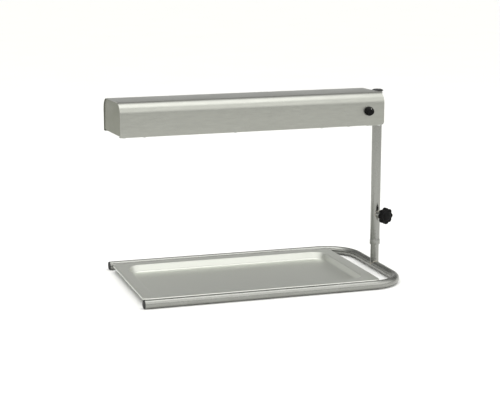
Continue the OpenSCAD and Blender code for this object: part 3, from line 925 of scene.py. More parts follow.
def polished_metal(name, rgb, roughness, size=30.0, bump=0.02):
    """Bright metal with a faint waviness, fine pitting and finger smudges."""
    material, tree, shader, fresh = blank(name, rgb)
    if not fresh:
        return material
    spot = surface(tree, WORLD)
    marks = use(tree, handling_effect, {"Vector": spot, "Size": size})
    pitting = noise(tree, spot, 1400.0, 2.0)
    tone = arithmetic(tree, "MULTIPLY_ADD", marks["Smudge"], -0.5, 1.0)
    dark = scaled_colour(rgb, 0.86)
    tree.links.new(tinted(tree, tone, (0.4, dark), (1, rgb)), shader.inputs["Base Color"])
    gloss = arithmetic(tree, "MULTIPLY_ADD", marks["Smudge"], 0.14, roughness)
    gloss = arithmetic(tree, "MULTIPLY_ADD", pitting, 0.05, gloss)
    tree.links.new(gloss, shader.inputs["Roughness"])
    height = arithmetic(tree, "MULTIPLY_ADD", marks["Scratch"], -0.6, pitting)
    tree.links.new(relief(tree, height, bump * MM), shader.inputs["Normal"])
    shader.inputs["Metallic"].default_value = 1
    return material


def moulding(name, rgb, roughness, pitch=1500.0, depth=0.02, wear=0.35):
    """Plastic, rubber or phenolic: moulded grain, flow mottle and rubbed edges."""
    material, tree, shader, fresh = blank(name, rgb)
    if not fresh:
        return material
    spot = surface(tree, WORLD)
    skin_grain = use(tree, moulded_effect, {"Vector": spot, "Pitch": pitch})
    rubbed = use(tree, worn_effect, {"Vector": spot, "Amount": wear})["Wear"]
    marks = use(tree, handling_effect, {"Vector": spot, "Size": 40.0})
    mottled = arithmetic(tree, "MULTIPLY_ADD", skin_grain["Mottle"], 0.5, rubbed)
    light = tuple(channel * 1.15 + 0.003 for channel in rgb)
    tree.links.new(tinted(tree, mottled, (0, rgb), (1.2, light)), shader.inputs["Base Color"])
    shader.inputs["Specular IOR Level"].default_value = 0.08
    gloss = arithmetic(tree, "MULTIPLY_ADD", skin_grain["Mottle"], 0.12, roughness - 0.06)
    gloss = arithmetic(tree, "MULTIPLY_ADD", marks["Smudge"], -0.08, gloss)
    gloss = arithmetic(tree, "MULTIPLY_ADD", rubbed, -0.15, gloss)
    tree.links.new(gloss, shader.inputs["Roughness"])
    tree.links.new(relief(tree, skin_grain["Grain"], depth * MM), shader.inputs["Normal"])
    return material


def steatite(name, rgb=(0.78, 0.74, 0.65)):
    """Unglazed ceramic: chalky, speckled and slightly browned by heat."""
    material, tree, shader, fresh = blank(name, rgb)
    if not fresh:
        return material
    spot = surface(tree, WORLD)
    speckle = noise(tree, spot, 900.0, 4.0, 0.7)
    bloom = noise(tree, spot, 45.0, 3.0)
    mixed = arithmetic(tree, "MULTIPLY_ADD", bloom, 0.6, arithmetic(tree, "MULTIPLY", speckle, 0.4))
    brown = (rgb[0] * 0.8, rgb[1] * 0.72, rgb[2] * 0.6)
    tree.links.new(tinted(tree, mixed, (0.3, brown), (0.62, rgb)), shader.inputs["Base Color"])
    tree.links.new(ranged(tree, speckle, 0.55, 0.8), shader.inputs["Roughness"])
    tree.links.new(relief(tree, speckle, 0.03 * MM), shader.inputs["Normal"])
    return material


def quartz_glass():
    """Clear quartz with faint draw lines and streaks of haze."""
    material, tree, shader, fresh = blank("quartz_glass", (0.95, 0.97, 0.98))
    if not fresh:
        return material
    spot = surface(tree, lengthwise(HEAD, "X"))
    brush = use(tree, brushed_effect, {"Vector": spot, "Along": 12.0, "Across": 1400.0})
    white = (0.96, 0.975, 0.98)
    dim = (0.88, 0.9, 0.91)
    tree.links.new(tinted(tree, brush["Streaks"], (0, dim), (1, white)), shader.inputs["Base Color"])
    tree.links.new(ranged(tree, brush["Streaks"], 0.02, 0.09), shader.inputs["Roughness"])
    tree.links.new(relief(tree, brush["Lines"], 0.01 * MM), shader.inputs["Normal"])
    shader.inputs["Transmission Weight"].default_value = 1
    shader.inputs["IOR"].default_value = 1.46
    return material


def hood_metal():
    """Satin steel brushed along the hood."""
    look = bpy.context.scene.warmer.finish
    return brushed_metal("hood_steel", tuple(look.hood_steel), look.satin, lengthwise(HEAD, "X"))


def end_metal():
    """Satin steel of the end plates, brushed upright, its colour darkened as painted shade where the plates face
    away from the light.
    """
    look = bpy.context.scene.warmer.finish
    grain = lengthwise(HEAD, "Z")
    return brushed_metal("end_steel", tuple(look.end_steel), look.satin + 0.06, grain)


def inner_metal():
    """Mill-finish steel of the sheet parts inside the hood and the brackets."""
    look = bpy.context.scene.warmer.finish
    rgb = tuple(look.hood_steel)
    return brushed_metal("mill_steel", rgb, look.satin + 0.08, lengthwise(HEAD, "Z"), 1200.0, 60.0)


def tube_metal(grain, name):
    """Polished tube steel with its grain along the tube."""
    look = bpy.context.scene.warmer.finish
    return brushed_metal(
        name, tuple(look.tube_steel), look.polish, grain, across=1900.0, along=25.0, depth=0.008
    )


def upright_metal():
    """Tube steel of the post, its sleeve and the collar."""
    return tube_metal(lengthwise(POST, "Z"), "post_steel")


def weld_metal():
    """Weld metal, rough and straw coloured where it got hot."""
    material, tree, shader, fresh = blank("weld_metal", (0.45, 0.42, 0.36))
    if not fresh:
        return material
    spot = surface(tree, WORLD)
    heat = noise(tree, spot, 240.0, 3.0)
    tints = ((0.3, (0.3, 0.29, 0.3)), (0.5, (0.45, 0.42, 0.36)), (0.7, (0.5, 0.5, 0.46)))
    tree.links.new(tinted(tree, heat, *tints), shader.inputs["Base Color"])
    tree.links.new(ranged(tree, heat, 0.3, 0.5), shader.inputs["Roughness"])
    tree.links.new(relief(tree, noise(tree, spot, 2200.0), 0.04 * MM), shader.inputs["Normal"])
    shader.inputs["Metallic"].default_value = 1
    return material


def tray_metal():
    """Pressed steel whose colour follows the facing: a satin floor and rim, upright walls near white as a painted
    reflection of the light, and a painted shade band at the rounded foot.
    """
    look = bpy.context.scene.warmer.finish
    rgb = tuple(look.tray_steel)
    material, tree, shader, fresh = blank("tray_steel", rgb)
    if not fresh:
        return material
    spot = surface(tree, WORLD)
    brush = use(tree, brushed_effect, {"Vector": spot, "Along": 50.0, "Across": 2200.0})
    marks = use(tree, handling_effect, {"Vector": spot, "Size": 9.0})
    normal = node(tree, "ShaderNodeTexCoord").outputs["Normal"]
    upward = node(tree, "ShaderNodeSeparateXYZ", {0: normal}).outputs[2]
    level = ranged(tree, upward, 0.0, 1.0, 0.55, 0.97)
    tone = arithmetic(tree, "MULTIPLY_ADD", brush["Streaks"], 0.12, 0.9)
    tone = arithmetic(tree, "MULTIPLY_ADD", level, -0.9, tone)
    # colour by facing: level floor and rim take floor_tone, the rounded foot and shoulder take foot as painted
    # shade, and upright walls take wall, a near-white painted reflection of the light
    floor_tone = scaled_colour(rgb, 0.8)
    foot = scaled_colour(rgb, 0.4)
    wall = scaled_colour(tuple(look.bright_steel), 1.7)
    stops = ((0, floor_tone), (0.08, floor_tone), (0.22, foot), (0.5, foot), (0.85, wall))
    tree.links.new(tinted(tree, tone, *stops), shader.inputs["Base Color"])
    gloss = ranged(tree, level, 0.16, look.satin)
    gloss = arithmetic(tree, "MULTIPLY_ADD", marks["Smudge"], 0.06, gloss)
    gloss = arithmetic(tree, "MULTIPLY_ADD", marks["Scratch"], -0.1, gloss)
    tree.links.new(gloss, shader.inputs["Roughness"])
    height = arithmetic(tree, "MULTIPLY", brush["Lines"], level)
    height = arithmetic(tree, "MULTIPLY_ADD", marks["Scratch"], -0.6, height)
    tree.links.new(relief(tree, height, 0.01 * MM), shader.inputs["Normal"])
    shader.inputs["Metallic"].default_value = 1
    return material


def screw_metal():
    """Zinc-plated screws and nuts."""
    return polished_metal("zinc_plate", tuple(bpy.context.scene.warmer.finish.bright_steel), 0.22)


def sheet_bright():
    """Bright rolled steel of the partition and the regulator's shaft."""
    rgb = tuple(bpy.context.scene.warmer.finish.bright_steel)
    return brushed_metal("bright_sheet", rgb, 0.3, lengthwise(HEAD, "Y"), 1500.0, 50.0)


def black_moulding():
    """Black moulded plastic of plugs and caps."""
    rgb = tuple(bpy.context.scene.warmer.finish.black_plastic)
    return moulding("black_plastic", rgb, 0.42)


def knob_phenolic():
    """Black phenolic of the two knobs."""
    rgb = tuple(bpy.context.scene.warmer.finish.black_plastic)
    return moulding("black_phenolic", rgb, 0.3, pitch=2200.0, depth=0.008, wear=0.6)


def brass_metal():
    """Turned brass of the pad, the terminals and the earth stud."""
    return polished_metal("brass", (0.62, 0.43, 0.17), 0.28, size=60.0)


# ---- operators: base ----


class PieceOperator:
    """What every operator of the warmer shares."""

    bl_options = {"REGISTER", "UNDO"}

    def execute(self, context):
        """Builds the pieces; a mistake raises an error, which stops the script."""
        self.build(context.scene.warmer)
        return {"FINISHED"}


class WARMER_OT_frame_tube(PieceOperator, bpy.types.Operator):
    """Bend the base tube along its U-shaped path."""

    bl_idname = "warmer.frame_tube"
    bl_label = "Base tube"

    def build(self, settings):
        low, high = span("base_frame")
        radius = (high.z - low.z) / 2
        right = high.x - radius
        side = high.y - radius
        corners = [(low.x, -side), (right, -side), (right, side), (low.x, side)]
        values = {
            "Radius": radius, "Bend radius": settings.base.bend_radius, "Bend steps": 28,
            "Sides": 48, "Material": tube_metal("grain", "tube_steel"),
        }
        wall = ("SOLIDIFY", {"thickness": settings.base.wall, "offset": -1})
        path = wire_line([(x, y, radius) for x, y in corners])
        mesh = grown("frame_tube", tube_tree, values, path, [wall])
        steel = values["Material"]
        install("frame_tube", mesh, "base", [steel], ["base_frame"])


class WARMER_OT_tube_plugs(PieceOperator, bpy.types.Operator):
    """Turn the two plugs that close the tube's ends."""

    bl_idname = "warmer.tube_plugs"
    bl_label = "Tube plugs"

    def build(self, settings):
        for node_name, name in (("front_plug", "front_end_plug"), ("rear_plug", "rear_end_plug")):
            low, high = span(node_name)
            radius = (high.z - low.z) / 2
            mouth = span("base_frame")[0].x - low.x
            stem = radius - settings.base.wall - 0.05 * MM
            place = facing((low.x, (low.y + high.y) / 2, radius), (1, 0, 0))
            lip = 0.4 * MM
            corners = [
                (0, 0), (radius - lip, 0, settings.base.plug_round),
                (radius - lip, mouth - 0.7 * MM, 0.2 * MM), (radius, mouth - 0.6 * MM, 0.2 * MM),
                (radius, mouth), (stem, mouth), (stem, high.x - low.x - 1.5 * MM),
                (stem - 1.2 * MM, high.x - low.x), (0, high.x - low.x),
            ]
            mesh = turned(name, corners, place)
            install(name, mesh, "base", [black_moulding()], [node_name])


class WARMER_OT_inner_post(PieceOperator, bpy.types.Operator):
    """Cope the inner post onto the base tube, weld it and plug its top."""

    bl_idname = "warmer.inner_post"
    bl_label = "Inner post"

    def build(self, settings):
        low, high = span("inner_post", POST)
        radius = high.x
        bore = radius - settings.base.wall
        axis_z = span("base_frame")[1].z / 2
        ease = 0.3 * MM

        sides = 72

        def coped(r):
            """A ring that follows the base tube and sinks a little into it."""
            rise = axis_z - 0.2 * MM
            return [
                (x, y, rise + math.sqrt(max(radius**2 - x**2, 0))) for x, y, z in ring(r, 0, sides)
            ]

        rings = [
            coped(bore), coped(radius), ring(radius, high.z - ease, sides),
            ring(radius - ease, high.z, sides), ring(bore, high.z, sides),
        ]
        mesh = skin("inner_post_tube", rings, POST, closed=True)
        install("inner_post_tube", mesh, "base", [upright_metal()], ["inner_post"])
        foot = []
        for k in range(120):
            turn = TURN * k / 120
            rise = math.sqrt(math.sin(turn) ** 2 + 0.03)
            spot = (radius * math.cos(turn), radius * math.sin(turn), axis_z + radius * rise)
            foot.append(POST @ Vector(spot))
        values = {
            "Radius": settings.base.bead, "Ripple": settings.base.ripple, "Step": 0.35 * MM,
            "Material": weld_metal(),
        }
        bead = grown("post_weld", weld_tree, values, wire_line(foot, closed=True))
        install("post_weld", bead, "base", [weld_metal()])
        paint("post_plug", black_moulding())


class WARMER_OT_tray(PieceOperator, bpy.types.Operator):
    """Press the tray: folded edge, flat rim, leaning walls and a slightly crowned floor."""

    bl_idname = "warmer.tray"
    bl_label = "Tray"

    def build(self, settings):
        tray = settings.tray
        low, high = span("tray")
        middle = (low + high) / 2
        half_l = (high.x - low.x) / 2
        half_w = (high.y - low.y) / 2
        top = high.z
        floor = low.z + tray.sheet
        flat_end = tray.rim + tray.draft + 22 * MM
        section = [
            (0, top - tray.fold), (0, top, tray.edge_round), (tray.rim, top, tray.shoulder),
            (tray.rim + tray.draft, floor, tray.floor_round), (flat_end, floor + tray.crown * 0.2),
            (tray.rim + 75 * MM, floor + tray.crown * 0.7), (half_w - 8 * MM, floor + tray.crown),
        ]

        def corner_radius(inset):
            """Corner radius of the ring at an inset: opens over the rim, closes down the wall."""
            over_rim = min(inset / tray.rim, 1)
            rim_r = tray.rim_corner + (tray.well_corner - tray.rim_corner) * over_rim
            past = max(inset - tray.rim, 0)
            return max(rim_r - past, 6 * MM)

        def level_ring(inset, height, radius):
            """A ring of the tray at one height."""
            x, y = half_l - inset, half_w - inset
            corners = [(-x, -y, radius), (x, -y, radius), (x, y, radius), (-x, y, radius)]
            path = rounded_path(corners, closed=True, steps=20)
            return [(middle.x + p.x, middle.y + p.y, height) for p, n in path]

        path = rounded_path(section, steps=8)
        upper = [level_ring(p.x, p.y, corner_radius(p.x)) for p, n in path]
        lower = []
        for p, n in path:
            q = p - n * tray.sheet
            lower.append(level_ring(q.x, q.y, corner_radius(p.x) + p.x - q.x))
        mesh = skin("pressed_tray", lower[::-1] + upper)
        install("pressed_tray", mesh, "tray", [tray_metal()], ["tray"])


# ---- operators: post and clamp ----


class WARMER_OT_collar(PieceOperator, bpy.types.Operator):
    """Turn the guide collar under the sleeve."""

    bl_idname = "warmer.collar"
    bl_label = "Guide collar"

    def build(self, settings):
        low, high = span("guide_collar", POST)
        bore = span("inner_post", POST)[1].x + 0.05 * MM
        spigot = span("post_sleeve", POST)[1].x
        step = high.z - 2 * MM
        corners = [
            (bore, low.z), (high.x, low.z, 0.9 * MM), (high.x, step, 0.4 * MM),
            (spigot, step, 0.1 * MM), (spigot, high.z, 0.3 * MM), (bore, high.z),
        ]
        mesh = turned("collar_ring", corners, POST, hollow=True)
        install("collar_ring", mesh, "guide", [upright_metal()], ["guide_collar"])


class WARMER_OT_sleeve(PieceOperator, bpy.types.Operator):
    """Make the sleeve, its cap and the welded clamp boss."""

    bl_idname = "warmer.sleeve"
    bl_label = "Sleeve, cap and boss"

    def build(self, settings):
        low, high = span("post_sleeve", HEAD)
        bore = span("inner_post", POST)[1].x + 0.05 * MM
        ease = 0.35 * MM
        corners = [
            (bore, low.z), (high.x, low.z, ease), (high.x, high.z, ease), (bore, high.z),
        ]
        mesh = turned("sleeve_tube", corners, HEAD, sides=72, hollow=True)
        install("sleeve_tube", mesh, "head", [upright_metal()], ["post_sleeve"])

        base, top = span("sleeve_cap", HEAD)
        brim = high.z
        corners = [
            (0, base.z), (bore - 0.25 * MM, base.z, 0.6 * MM), (bore - 0.25 * MM, brim),
            (top.x, brim, 0.25 * MM), (top.x, brim + 2.2 * MM, 1.2 * MM),
            (top.x - 4 * MM, top.z - 0.3 * MM, 1 * MM), (0, top.z),
        ]
        cap = turned("post_cap", corners, HEAD)
        install("post_cap", cap, "head", [black_moulding()], ["sleeve_cap"])

        low, high = span("clamp_boss", CLAMP)
        radius = high.y
        tube = span("post_sleeve", HEAD)[1].x
        thread = span("clamp_stud", CLAMP)[1].y + 0.05 * MM

        def saddle(r, sink=0.0):
            """A ring round the clamp's axis that lies on the sleeve."""
            return [(x, y, math.sqrt(tube**2 - y**2) - sink) for x, y, z in ring(r, 0)]

        edge = 0.7 * MM
        rings = [
            saddle(thread, 0.2 * MM), saddle(radius, 0.2 * MM), ring(radius, high.z - edge),
            ring(radius - edge, high.z), ring(thread + 0.4 * MM, high.z),
            ring(thread, high.z - 0.4 * MM),
        ]
        boss = skin("threaded_boss", rings, CLAMP, closed=True)
        install("threaded_boss", boss, "head", [upright_metal()], ["clamp_boss"])
        values = {
            "Radius": settings.base.bead * 0.8, "Ripple": settings.base.ripple,
            "Step": 0.3 * MM, "Material": weld_metal(),
        }
        line = wire_line([CLAMP @ Vector(p) for p in saddle(radius)], closed=True)
        bead = grown("boss_weld", weld_tree, values, line)
        install("boss_weld", bead, "head", [weld_metal()])


class WARMER_OT_clamp_screw(PieceOperator, bpy.types.Operator):
    """Make the clamp screw: its thread and its lobed knob. The pad stays as it is."""

    bl_idname = "warmer.clamp_screw"
    bl_label = "Clamp screw"

    def build(self, settings):
        knobs = settings.knobs
        low, high = span("clamp_stud", CLAMP)
        knob_low, knob_high = span("clamp_knob", CLAMP)
        crest = high.y
        pitch = knobs.thread_pitch
        steps = 6
        sides = 36
        rows = int((knob_low.z + 1 * MM - low.z) / pitch * steps)
        rings = [[(0, 0, low.z)]]
        for k in range(rows):
            z = low.z + k * pitch / steps
            points = []
            for i in range(sides):
                turn = i / sides
                wave = abs(((z - low.z) / pitch - turn) % 1 - 0.5) * 2
                depth = 0.55 * MM * wave if 0 < k else 0.6 * MM
                r = crest - 0.02 * MM - depth
                points.append((r * math.cos(TURN * turn), r * math.sin(TURN * turn), z))
            rings.append(points)
        rings += [ring(crest - 0.02 * MM, z, sides) for z in (rings[-1][0][2] + 0.4 * MM, high.z)]
        rings.append([(0, 0, high.z)])
        stud = skin("threaded_stud", rings, CLAMP, sharp=60)
        install("threaded_stud", stud, "clamp_screw", [screw_metal()], ["clamp_stud"])

        start = knob_low.z
        face = knob_high.z
        section = [
            (start, 0, 0), (start, 4.4, 0), (start, 8.3, 0), (start + 0.25 * MM, 8.8, 0),
            (start + 2.4 * MM, 10.2, 0), (start + 3.0 * MM, 11.6, 0.1), (start + 3.1 * MM, 15.5, 0.6),
            (start + 3.5 * MM, 17.8, 0.85), (start + 4.3 * MM, 19.2, 0.97),
            (start + 5.4 * MM, 19.85, 1), (start + 6.5 * MM, 20, 1), (face - 4.6 * MM, 20, 1),
            (face - 3.4 * MM, 19.8, 1), (face - 2.5 * MM, 19.1, 0.97), (face - 1.9 * MM, 17.9, 0.85),
            (face - 1.6 * MM, 16.2, 0.6), (face - 1.7 * MM, 14.0, 0.3), (face - 2.0 * MM, 12.2, 0.08),
            (face - 1.9 * MM, 11.2, 0), (face - 0.9 * MM, 10.6, 0), (face - 0.3 * MM, 9.8, 0),
            (face, 8.2, 0), (face, 0, 0),
        ]
        # the section's radii are shares of 20, which stands for the knob's reach
        rings = scalloped(section, knobs.lobes, knobs.lobe_depth, 1.5, 16, knob_high.x / 20)
        knob = skin("lobed_knob", rings, CLAMP, sharp=50)
        install("lobed_knob", knob, "clamp_screw", [knob_phenolic()], ["clamp_knob"])
        paint("clamp_pad", brass_metal())


# ---- operators: fasteners ----


def pan_head(shank, shank_length, radius, height):
    """A pan-head screw with a cross recess, its head on top and its shank down -Z."""
    corners = [
        (0, -shank_length), (shank * 0.7, -shank_length), (shank, -shank_length + 0.6 * MM),
        (shank, 0), (radius, 0, 0.15 * MM), (radius, height * 0.55, height * 0.35),
        (radius * 0.55, height * 0.97, height * 0.3), (0, height),
    ]
    head = turned("pan_head", corners, sides=40)
    blades = []
    for turn in (0, TURN / 4):
        place = Matrix.Rotation(turn, 4, "Z")
        wide, thin = radius * 0.58, radius * 0.13
        floor = height * 0.25
        ends = ((floor, wide * 0.45, thin * 0.8), (height * 1.3, wide * 1.1, thin * 1.15))
        rings = [
            [(-half, -half_t, z), (half, -half_t, z), (half, half_t, z), (-half, half_t, z)]
            for z, half, half_t in ends
        ]
        blades.append(skin("blade", rings, place))
    return cut_away(head, blades)


def hexagon(across, height, bore=0.0, stem=0.0, stem_length=0.0):
    """A hexagonal head or nut with its corners chamfered, its flat side on z = 0."""
    corner = across / 2
    flat = corner * math.cos(TURN / 12)
    sides = 48

    def hex_ring(limit, z):
        """A hexagon ring held inside a circle, so that its corners are cut back."""
        points = []
        for k in range(sides):
            turn = TURN * k / sides
            side_angle = (turn + TURN / 12) % (TURN / 6) - TURN / 12
            radius = min(flat / math.cos(side_angle), limit)
            points.append((radius * math.cos(turn), radius * math.sin(turn), z))
        return points

    chamfer = 0.12 * height + 0.25 * MM
    rings = [
        hex_ring(flat * 0.98, 0), hex_ring(corner, chamfer * 0.5),
        hex_ring(corner, height - chamfer), hex_ring(flat * 1.03, height - chamfer * 0.35),
        hex_ring(flat * 0.93, height),
    ]
    if bore:
        lead_in = 0.5 * MM
        rings += [
            ring(bore + lead_in, height, sides), ring(bore, height - lead_in, sides),
            ring(bore, lead_in, sides), ring(bore + lead_in, 0, sides),
        ]
        return skin("nut", rings, closed=True)
    low = [[(0, 0, -stem_length)], ring(stem * 0.8, -stem_length, sides)]
    low += [ring(stem, -stem_length + 0.6 * MM, sides), ring(stem, 0, sides)]
    dish = height - 0.25 * MM
    rings += [ring(flat * 0.55, dish, sides), [(0, 0, dish)]]
    return skin("bolt", low + rings)


def solids(node_name, place):
    """Lowest and highest corner of each loose solid in a CAD node, in the frame place."""
    inside = place.inverted()
    shape = bmesh.new()
    shape.from_mesh(frame["nodes"][node_name].data)
    bmesh.ops.remove_doubles(shape, verts=shape.verts, dist=2e-6)
    left = set(shape.verts)
    found = []
    while left:
        start = left.pop()
        group = [start]
        queue = [start]
        while queue:
            for edge in queue.pop().link_edges:
                for other in edge.verts:
                    if other in left:
                        left.discard(other)
                        group.append(other)
                        queue.append(other)
        points = [inside @ v.co for v in group]
        low = Vector([min(p[k] for p in points) for k in range(3)])
        high = Vector([max(p[k] for p in points) for k in range(3)])
        found.append((low, high))
    shape.free()
    return sorted(found, key=lambda box: tuple(round(c, 5) for c in box[0]))


class WARMER_OT_fasteners(PieceOperator, bpy.types.Operator):
    """Set out the screws, bolts and nuts, each with its drive and its own turn."""

    bl_idname = "warmer.fasteners"
    bl_label = "Screws, bolts and nuts"

    def build(self, settings):
        down = HEAD.to_3x3() @ Vector((0, 0, -1))
        groups = {
            "end_screws": ("end_plate_screws", -1), "cover_screws": ("cover_plate_screws", -1),
            "reflector_screws": ("reflector_pan_screws", -1),
            "holder_screws": ("holder_pan_screws", 1),
        }
        for seed, (node_name, (name, side)) in enumerate(groups.items()):
            spots = []
            for low, high in solids(node_name, HEAD):
                radius = (high.x - low.x) / 2
                seat = low.z + 2 * MM if side < 0 else high.z - 2 * MM
                tip = high.z - seat if side < 0 else seat - low.z
                spots.append((HEAD @ Vector(((low.x + high.x) / 2, (low.y + high.y) / 2, seat)),
                              down * -side))
            part = pan_head(1.9 * MM, tip, radius, 2 * MM)
            mesh = set_out(name, part, spots, screw_metal(), TURN, seed)
            install(name, mesh, "head", [screw_metal()], [node_name])

        outward = HEAD.to_3x3() @ Vector((1, 0, 0))
        head_high = 4 * MM
        bolts = []
        for low, high in solids("bracket_bolts", HEAD):
            across = high.z - low.z
            seat = high.x - head_high
            bolts.append((HEAD @ Vector((seat, (low.y + high.y) / 2, (low.z + high.z) / 2)), outward))
        part = hexagon(across, head_high, stem=3 * MM, stem_length=seat - low.x)
        mesh = set_out("hood_bolts", part, bolts, screw_metal(), TURN, 7)
        install("hood_bolts", mesh, "head", [screw_metal()], ["bracket_bolts"])

        nuts = []
        for low, high in solids("bracket_nuts", HEAD):
            nuts.append((HEAD @ Vector((low.x, (low.y + high.y) / 2, (low.z + high.z) / 2)), outward))
        part = hexagon(across, high.x - low.x, bore=3.05 * MM)
        mesh = set_out("hood_nuts", part, nuts, screw_metal(), TURN, 9)
        install("hood_nuts", mesh, "head", [screw_metal()], ["bracket_nuts"])


# ---- operators: hood ----


class WARMER_OT_bracket(PieceOperator, bpy.types.Operator):
    """Ease the edges of the plate that holds the hood to the sleeve."""

    bl_idname = "warmer.bracket"
    bl_label = "Hood bracket"

    def build(self, settings):
        mesh = eased_copy("post_bracket", 0.5 * MM)
        install("hood_bracket", mesh, "head", [inner_metal()], ["post_bracket"])


class WARMER_OT_hood(PieceOperator, bpy.types.Operator):
    """Fold the hood and cut its round end corners and its two holes."""

    bl_idname = "warmer.hood"
    bl_label = "Hood"

    def build(self, settings):
        hood = settings.hood
        low, high = span("hood_shell", HEAD)
        half = high.y
        fold = hood.fold
        corners = [
            (-half + hood.flange, low.z), (-half, low.z, fold), (-half, high.z, hood.bend),
            (half, high.z, hood.bend), (half, low.z, fold), (half - hood.flange, low.z),
        ]
        # the sheet lies to the right of the path when it is walked clockwise
        mesh = folded("hood_cover", corners, hood.sheet, low.x, high.x, HEAD, steps=14)

        r = hood.end_corner
        reach = 4 * MM
        arc = [
            (high.x - r + r * math.sin(TURN / 4 * k / 14), low.z + r - r * math.cos(TURN / 4 * k / 14))
            for k in range(15)
        ]
        outline = [(high.x - r, low.z - reach), (high.x + reach, low.z - reach),
                   (high.x + reach, low.z + r)] + arc[::-1]
        sides = (-half - reach, half + reach)
        corner = skin("corner", [[(x, y, z) for x, z in outline] for y in sides], HEAD)
        knob_hole = turned("knob_hole", [(0, -0.03), (5.2 * MM, -0.03), (5.2 * MM, 0.03), (0, 0.03)],
                           DIAL)
        cord_hole = turned("cord_hole", [(0, -0.03), (8.3 * MM, -0.03), (8.3 * MM, 0.03), (0, 0.03)],
                           GLAND)
        mesh = cut_away(mesh, [corner, knob_hole, cord_hole])
        install("hood_cover", mesh, "head", [hood_metal()], ["hood_shell"])


class WARMER_OT_end_plates(PieceOperator, bpy.types.Operator):
    """Fold the two end plates that close the hood."""

    bl_idname = "warmer.end_plates"
    bl_label = "End plates"

    def build(self, settings):
        hood = settings.hood
        shell_low, shell_high = span("hood_shell", HEAD)
        place = HEAD @ Matrix.Translation((0, 0, shell_low.z))
        half, height = shell_high.y, shell_high.z - shell_low.z
        snug = hood.sheet + 0.1 * MM
        outside = 1.8 * MM
        inside = outside - hood.sheet
        for node_name, name, side in (
            ("hood_end_left", "left_end_plate", 1), ("hood_end_right", "right_end_plate", -1)
        ):
            low, high = span(node_name, HEAD)
            face = low.x if side > 0 else high.x
            depth = high.x - low.x
            rings = []
            for k in range(7):
                turn = TURN / 4 * k / 6
                inset = snug + outside * (1 - math.sin(turn))
                x = face + side * outside * (1 - math.cos(turn))
                rings.append(hood_outline(x, inset, hood, half, height))
            rings.append(hood_outline(face + side * depth, snug, hood, half, height))
            rings.append(hood_outline(face + side * depth, snug + hood.sheet, hood, half, height))
            for k in range(6, -1, -1):
                turn = TURN / 4 * k / 6
                inset = snug + hood.sheet + inside * (1 - math.sin(turn))
                x = face + side * (hood.sheet + inside * (1 - math.cos(turn)))
                rings.append(hood_outline(x, inset, hood, half, height))
            mesh = skin(name, rings, place)
            install(name, mesh, "head", [end_metal()], [node_name])


class WARMER_OT_wiring(PieceOperator, bpy.types.Operator):
    """Slot the wiring cover, and finish the parts of the wiring compartment."""

    bl_idname = "warmer.wiring"
    bl_label = "Wiring compartment"

    def build(self, settings):
        low, high = span("wiring_cover", HEAD)
        values = {
            "Length": high.x - low.x, "Width": high.y - low.y, "Sheet": high.z - low.z,
            "Slots": settings.hood.vents, "Slot width": 4 * MM, "Slot length": 60 * MM,
            "Slot step": 10 * MM, "Material": hood_metal(),
        }
        mesh = grown("vented_cover", slotted_tree, values)
        mesh.transform(HEAD @ Matrix.Translation((low + high) / 2))
        install("vented_cover", mesh, "head", [hood_metal()], ["wiring_cover"])
        paint("partition", sheet_bright())
        paint("terminal_block", moulding("terminal_plastic", (0.7, 0.68, 0.6), 0.4))
        paint("terminal_screws", brass_metal())
        paint("earth_stud", brass_metal())
        sleeving = moulding("lead_sleeving", (0.62, 0.58, 0.47), 0.7, pitch=3200.0, depth=0.05)
        paint("lamp_leads", sleeving)
        paint("lead_grommets", moulding("grommet_rubber", (0.015, 0.015, 0.015), 0.6))


class WARMER_OT_gland(PieceOperator, bpy.types.Operator):
    """Make the cord gland on the hood's back: body, locknut and ribbed cap."""

    bl_idname = "warmer.gland"
    bl_label = "Cord gland"

    def build(self, settings):
        plastic = moulding("gland_plastic", (0.014, 0.014, 0.014), 0.38, pitch=1800.0)
        low, high = span("gland_body", GLAND)
        wall = span("hood_shell", HEAD)[1].y
        seat = wall - (HEAD.inverted() @ GLAND.translation).y
        bore = cord_mount()["dims"]["r_mm"] * MM
        thread = 8 * MM
        flange = hexagon(2 * high.x, 5 * MM, bore=bore)
        flange.transform(GLAND @ Matrix.Translation((0, 0, seat)))
        corners = [
            (bore, low.z, 0.3 * MM), (thread, low.z, 0.8 * MM), (thread, high.z, 0.8 * MM),
            (bore, high.z, 0.3 * MM),
        ]
        stem = turned("stem", corners, GLAND, hollow=True)
        body = joined("gland_stem", flange, stem)
        install("gland_stem", body, "head", [plastic], ["gland_body"])

        low, high = span("gland_nut", GLAND)
        nut = hexagon(2 * high.x, high.z - low.z, bore=thread)
        nut.transform(GLAND @ Matrix.Translation((0, 0, low.z)))
        install("gland_locknut", nut, "head", [plastic], ["gland_nut"])

        low, high = span("gland_cap", GLAND)
        skirt = high.x
        section = [
            (low.z, skirt - 0.5 * MM, 0), (low.z + 0.5 * MM, skirt, 1), (low.z + 7.6 * MM, skirt, 1),
            (low.z + 8.6 * MM, skirt - 0.3 * MM, 0.3), (low.z + 9.6 * MM, skirt - 0.9 * MM, 0),
            (low.z + 11.6 * MM, skirt - 2.0 * MM, 0), (high.z - 1.6 * MM, skirt - 3.6 * MM, 0),
            (high.z - 0.4 * MM, skirt - 4.4 * MM, 0), (high.z, skirt - 5.2 * MM, 0),
        ]
        rings = scalloped(section, 12, 0.7 * MM, 0.6, 10)
        inner = thread + 0.1 * MM
        for z, r in ((high.z - 1 * MM, bore + 0.05 * MM), (low.z + 5 * MM, bore + 0.05 * MM),
                     (low.z + 5 * MM, inner), (low.z, inner)):
            rings.append(ring(r, z, len(rings[-1])))
        cap = skin("gland_dome", rings, GLAND, closed=True, sharp=40)
        install("gland_dome", cap, "head", [plastic], ["gland_cap"])


# ---- operators: lamps ----


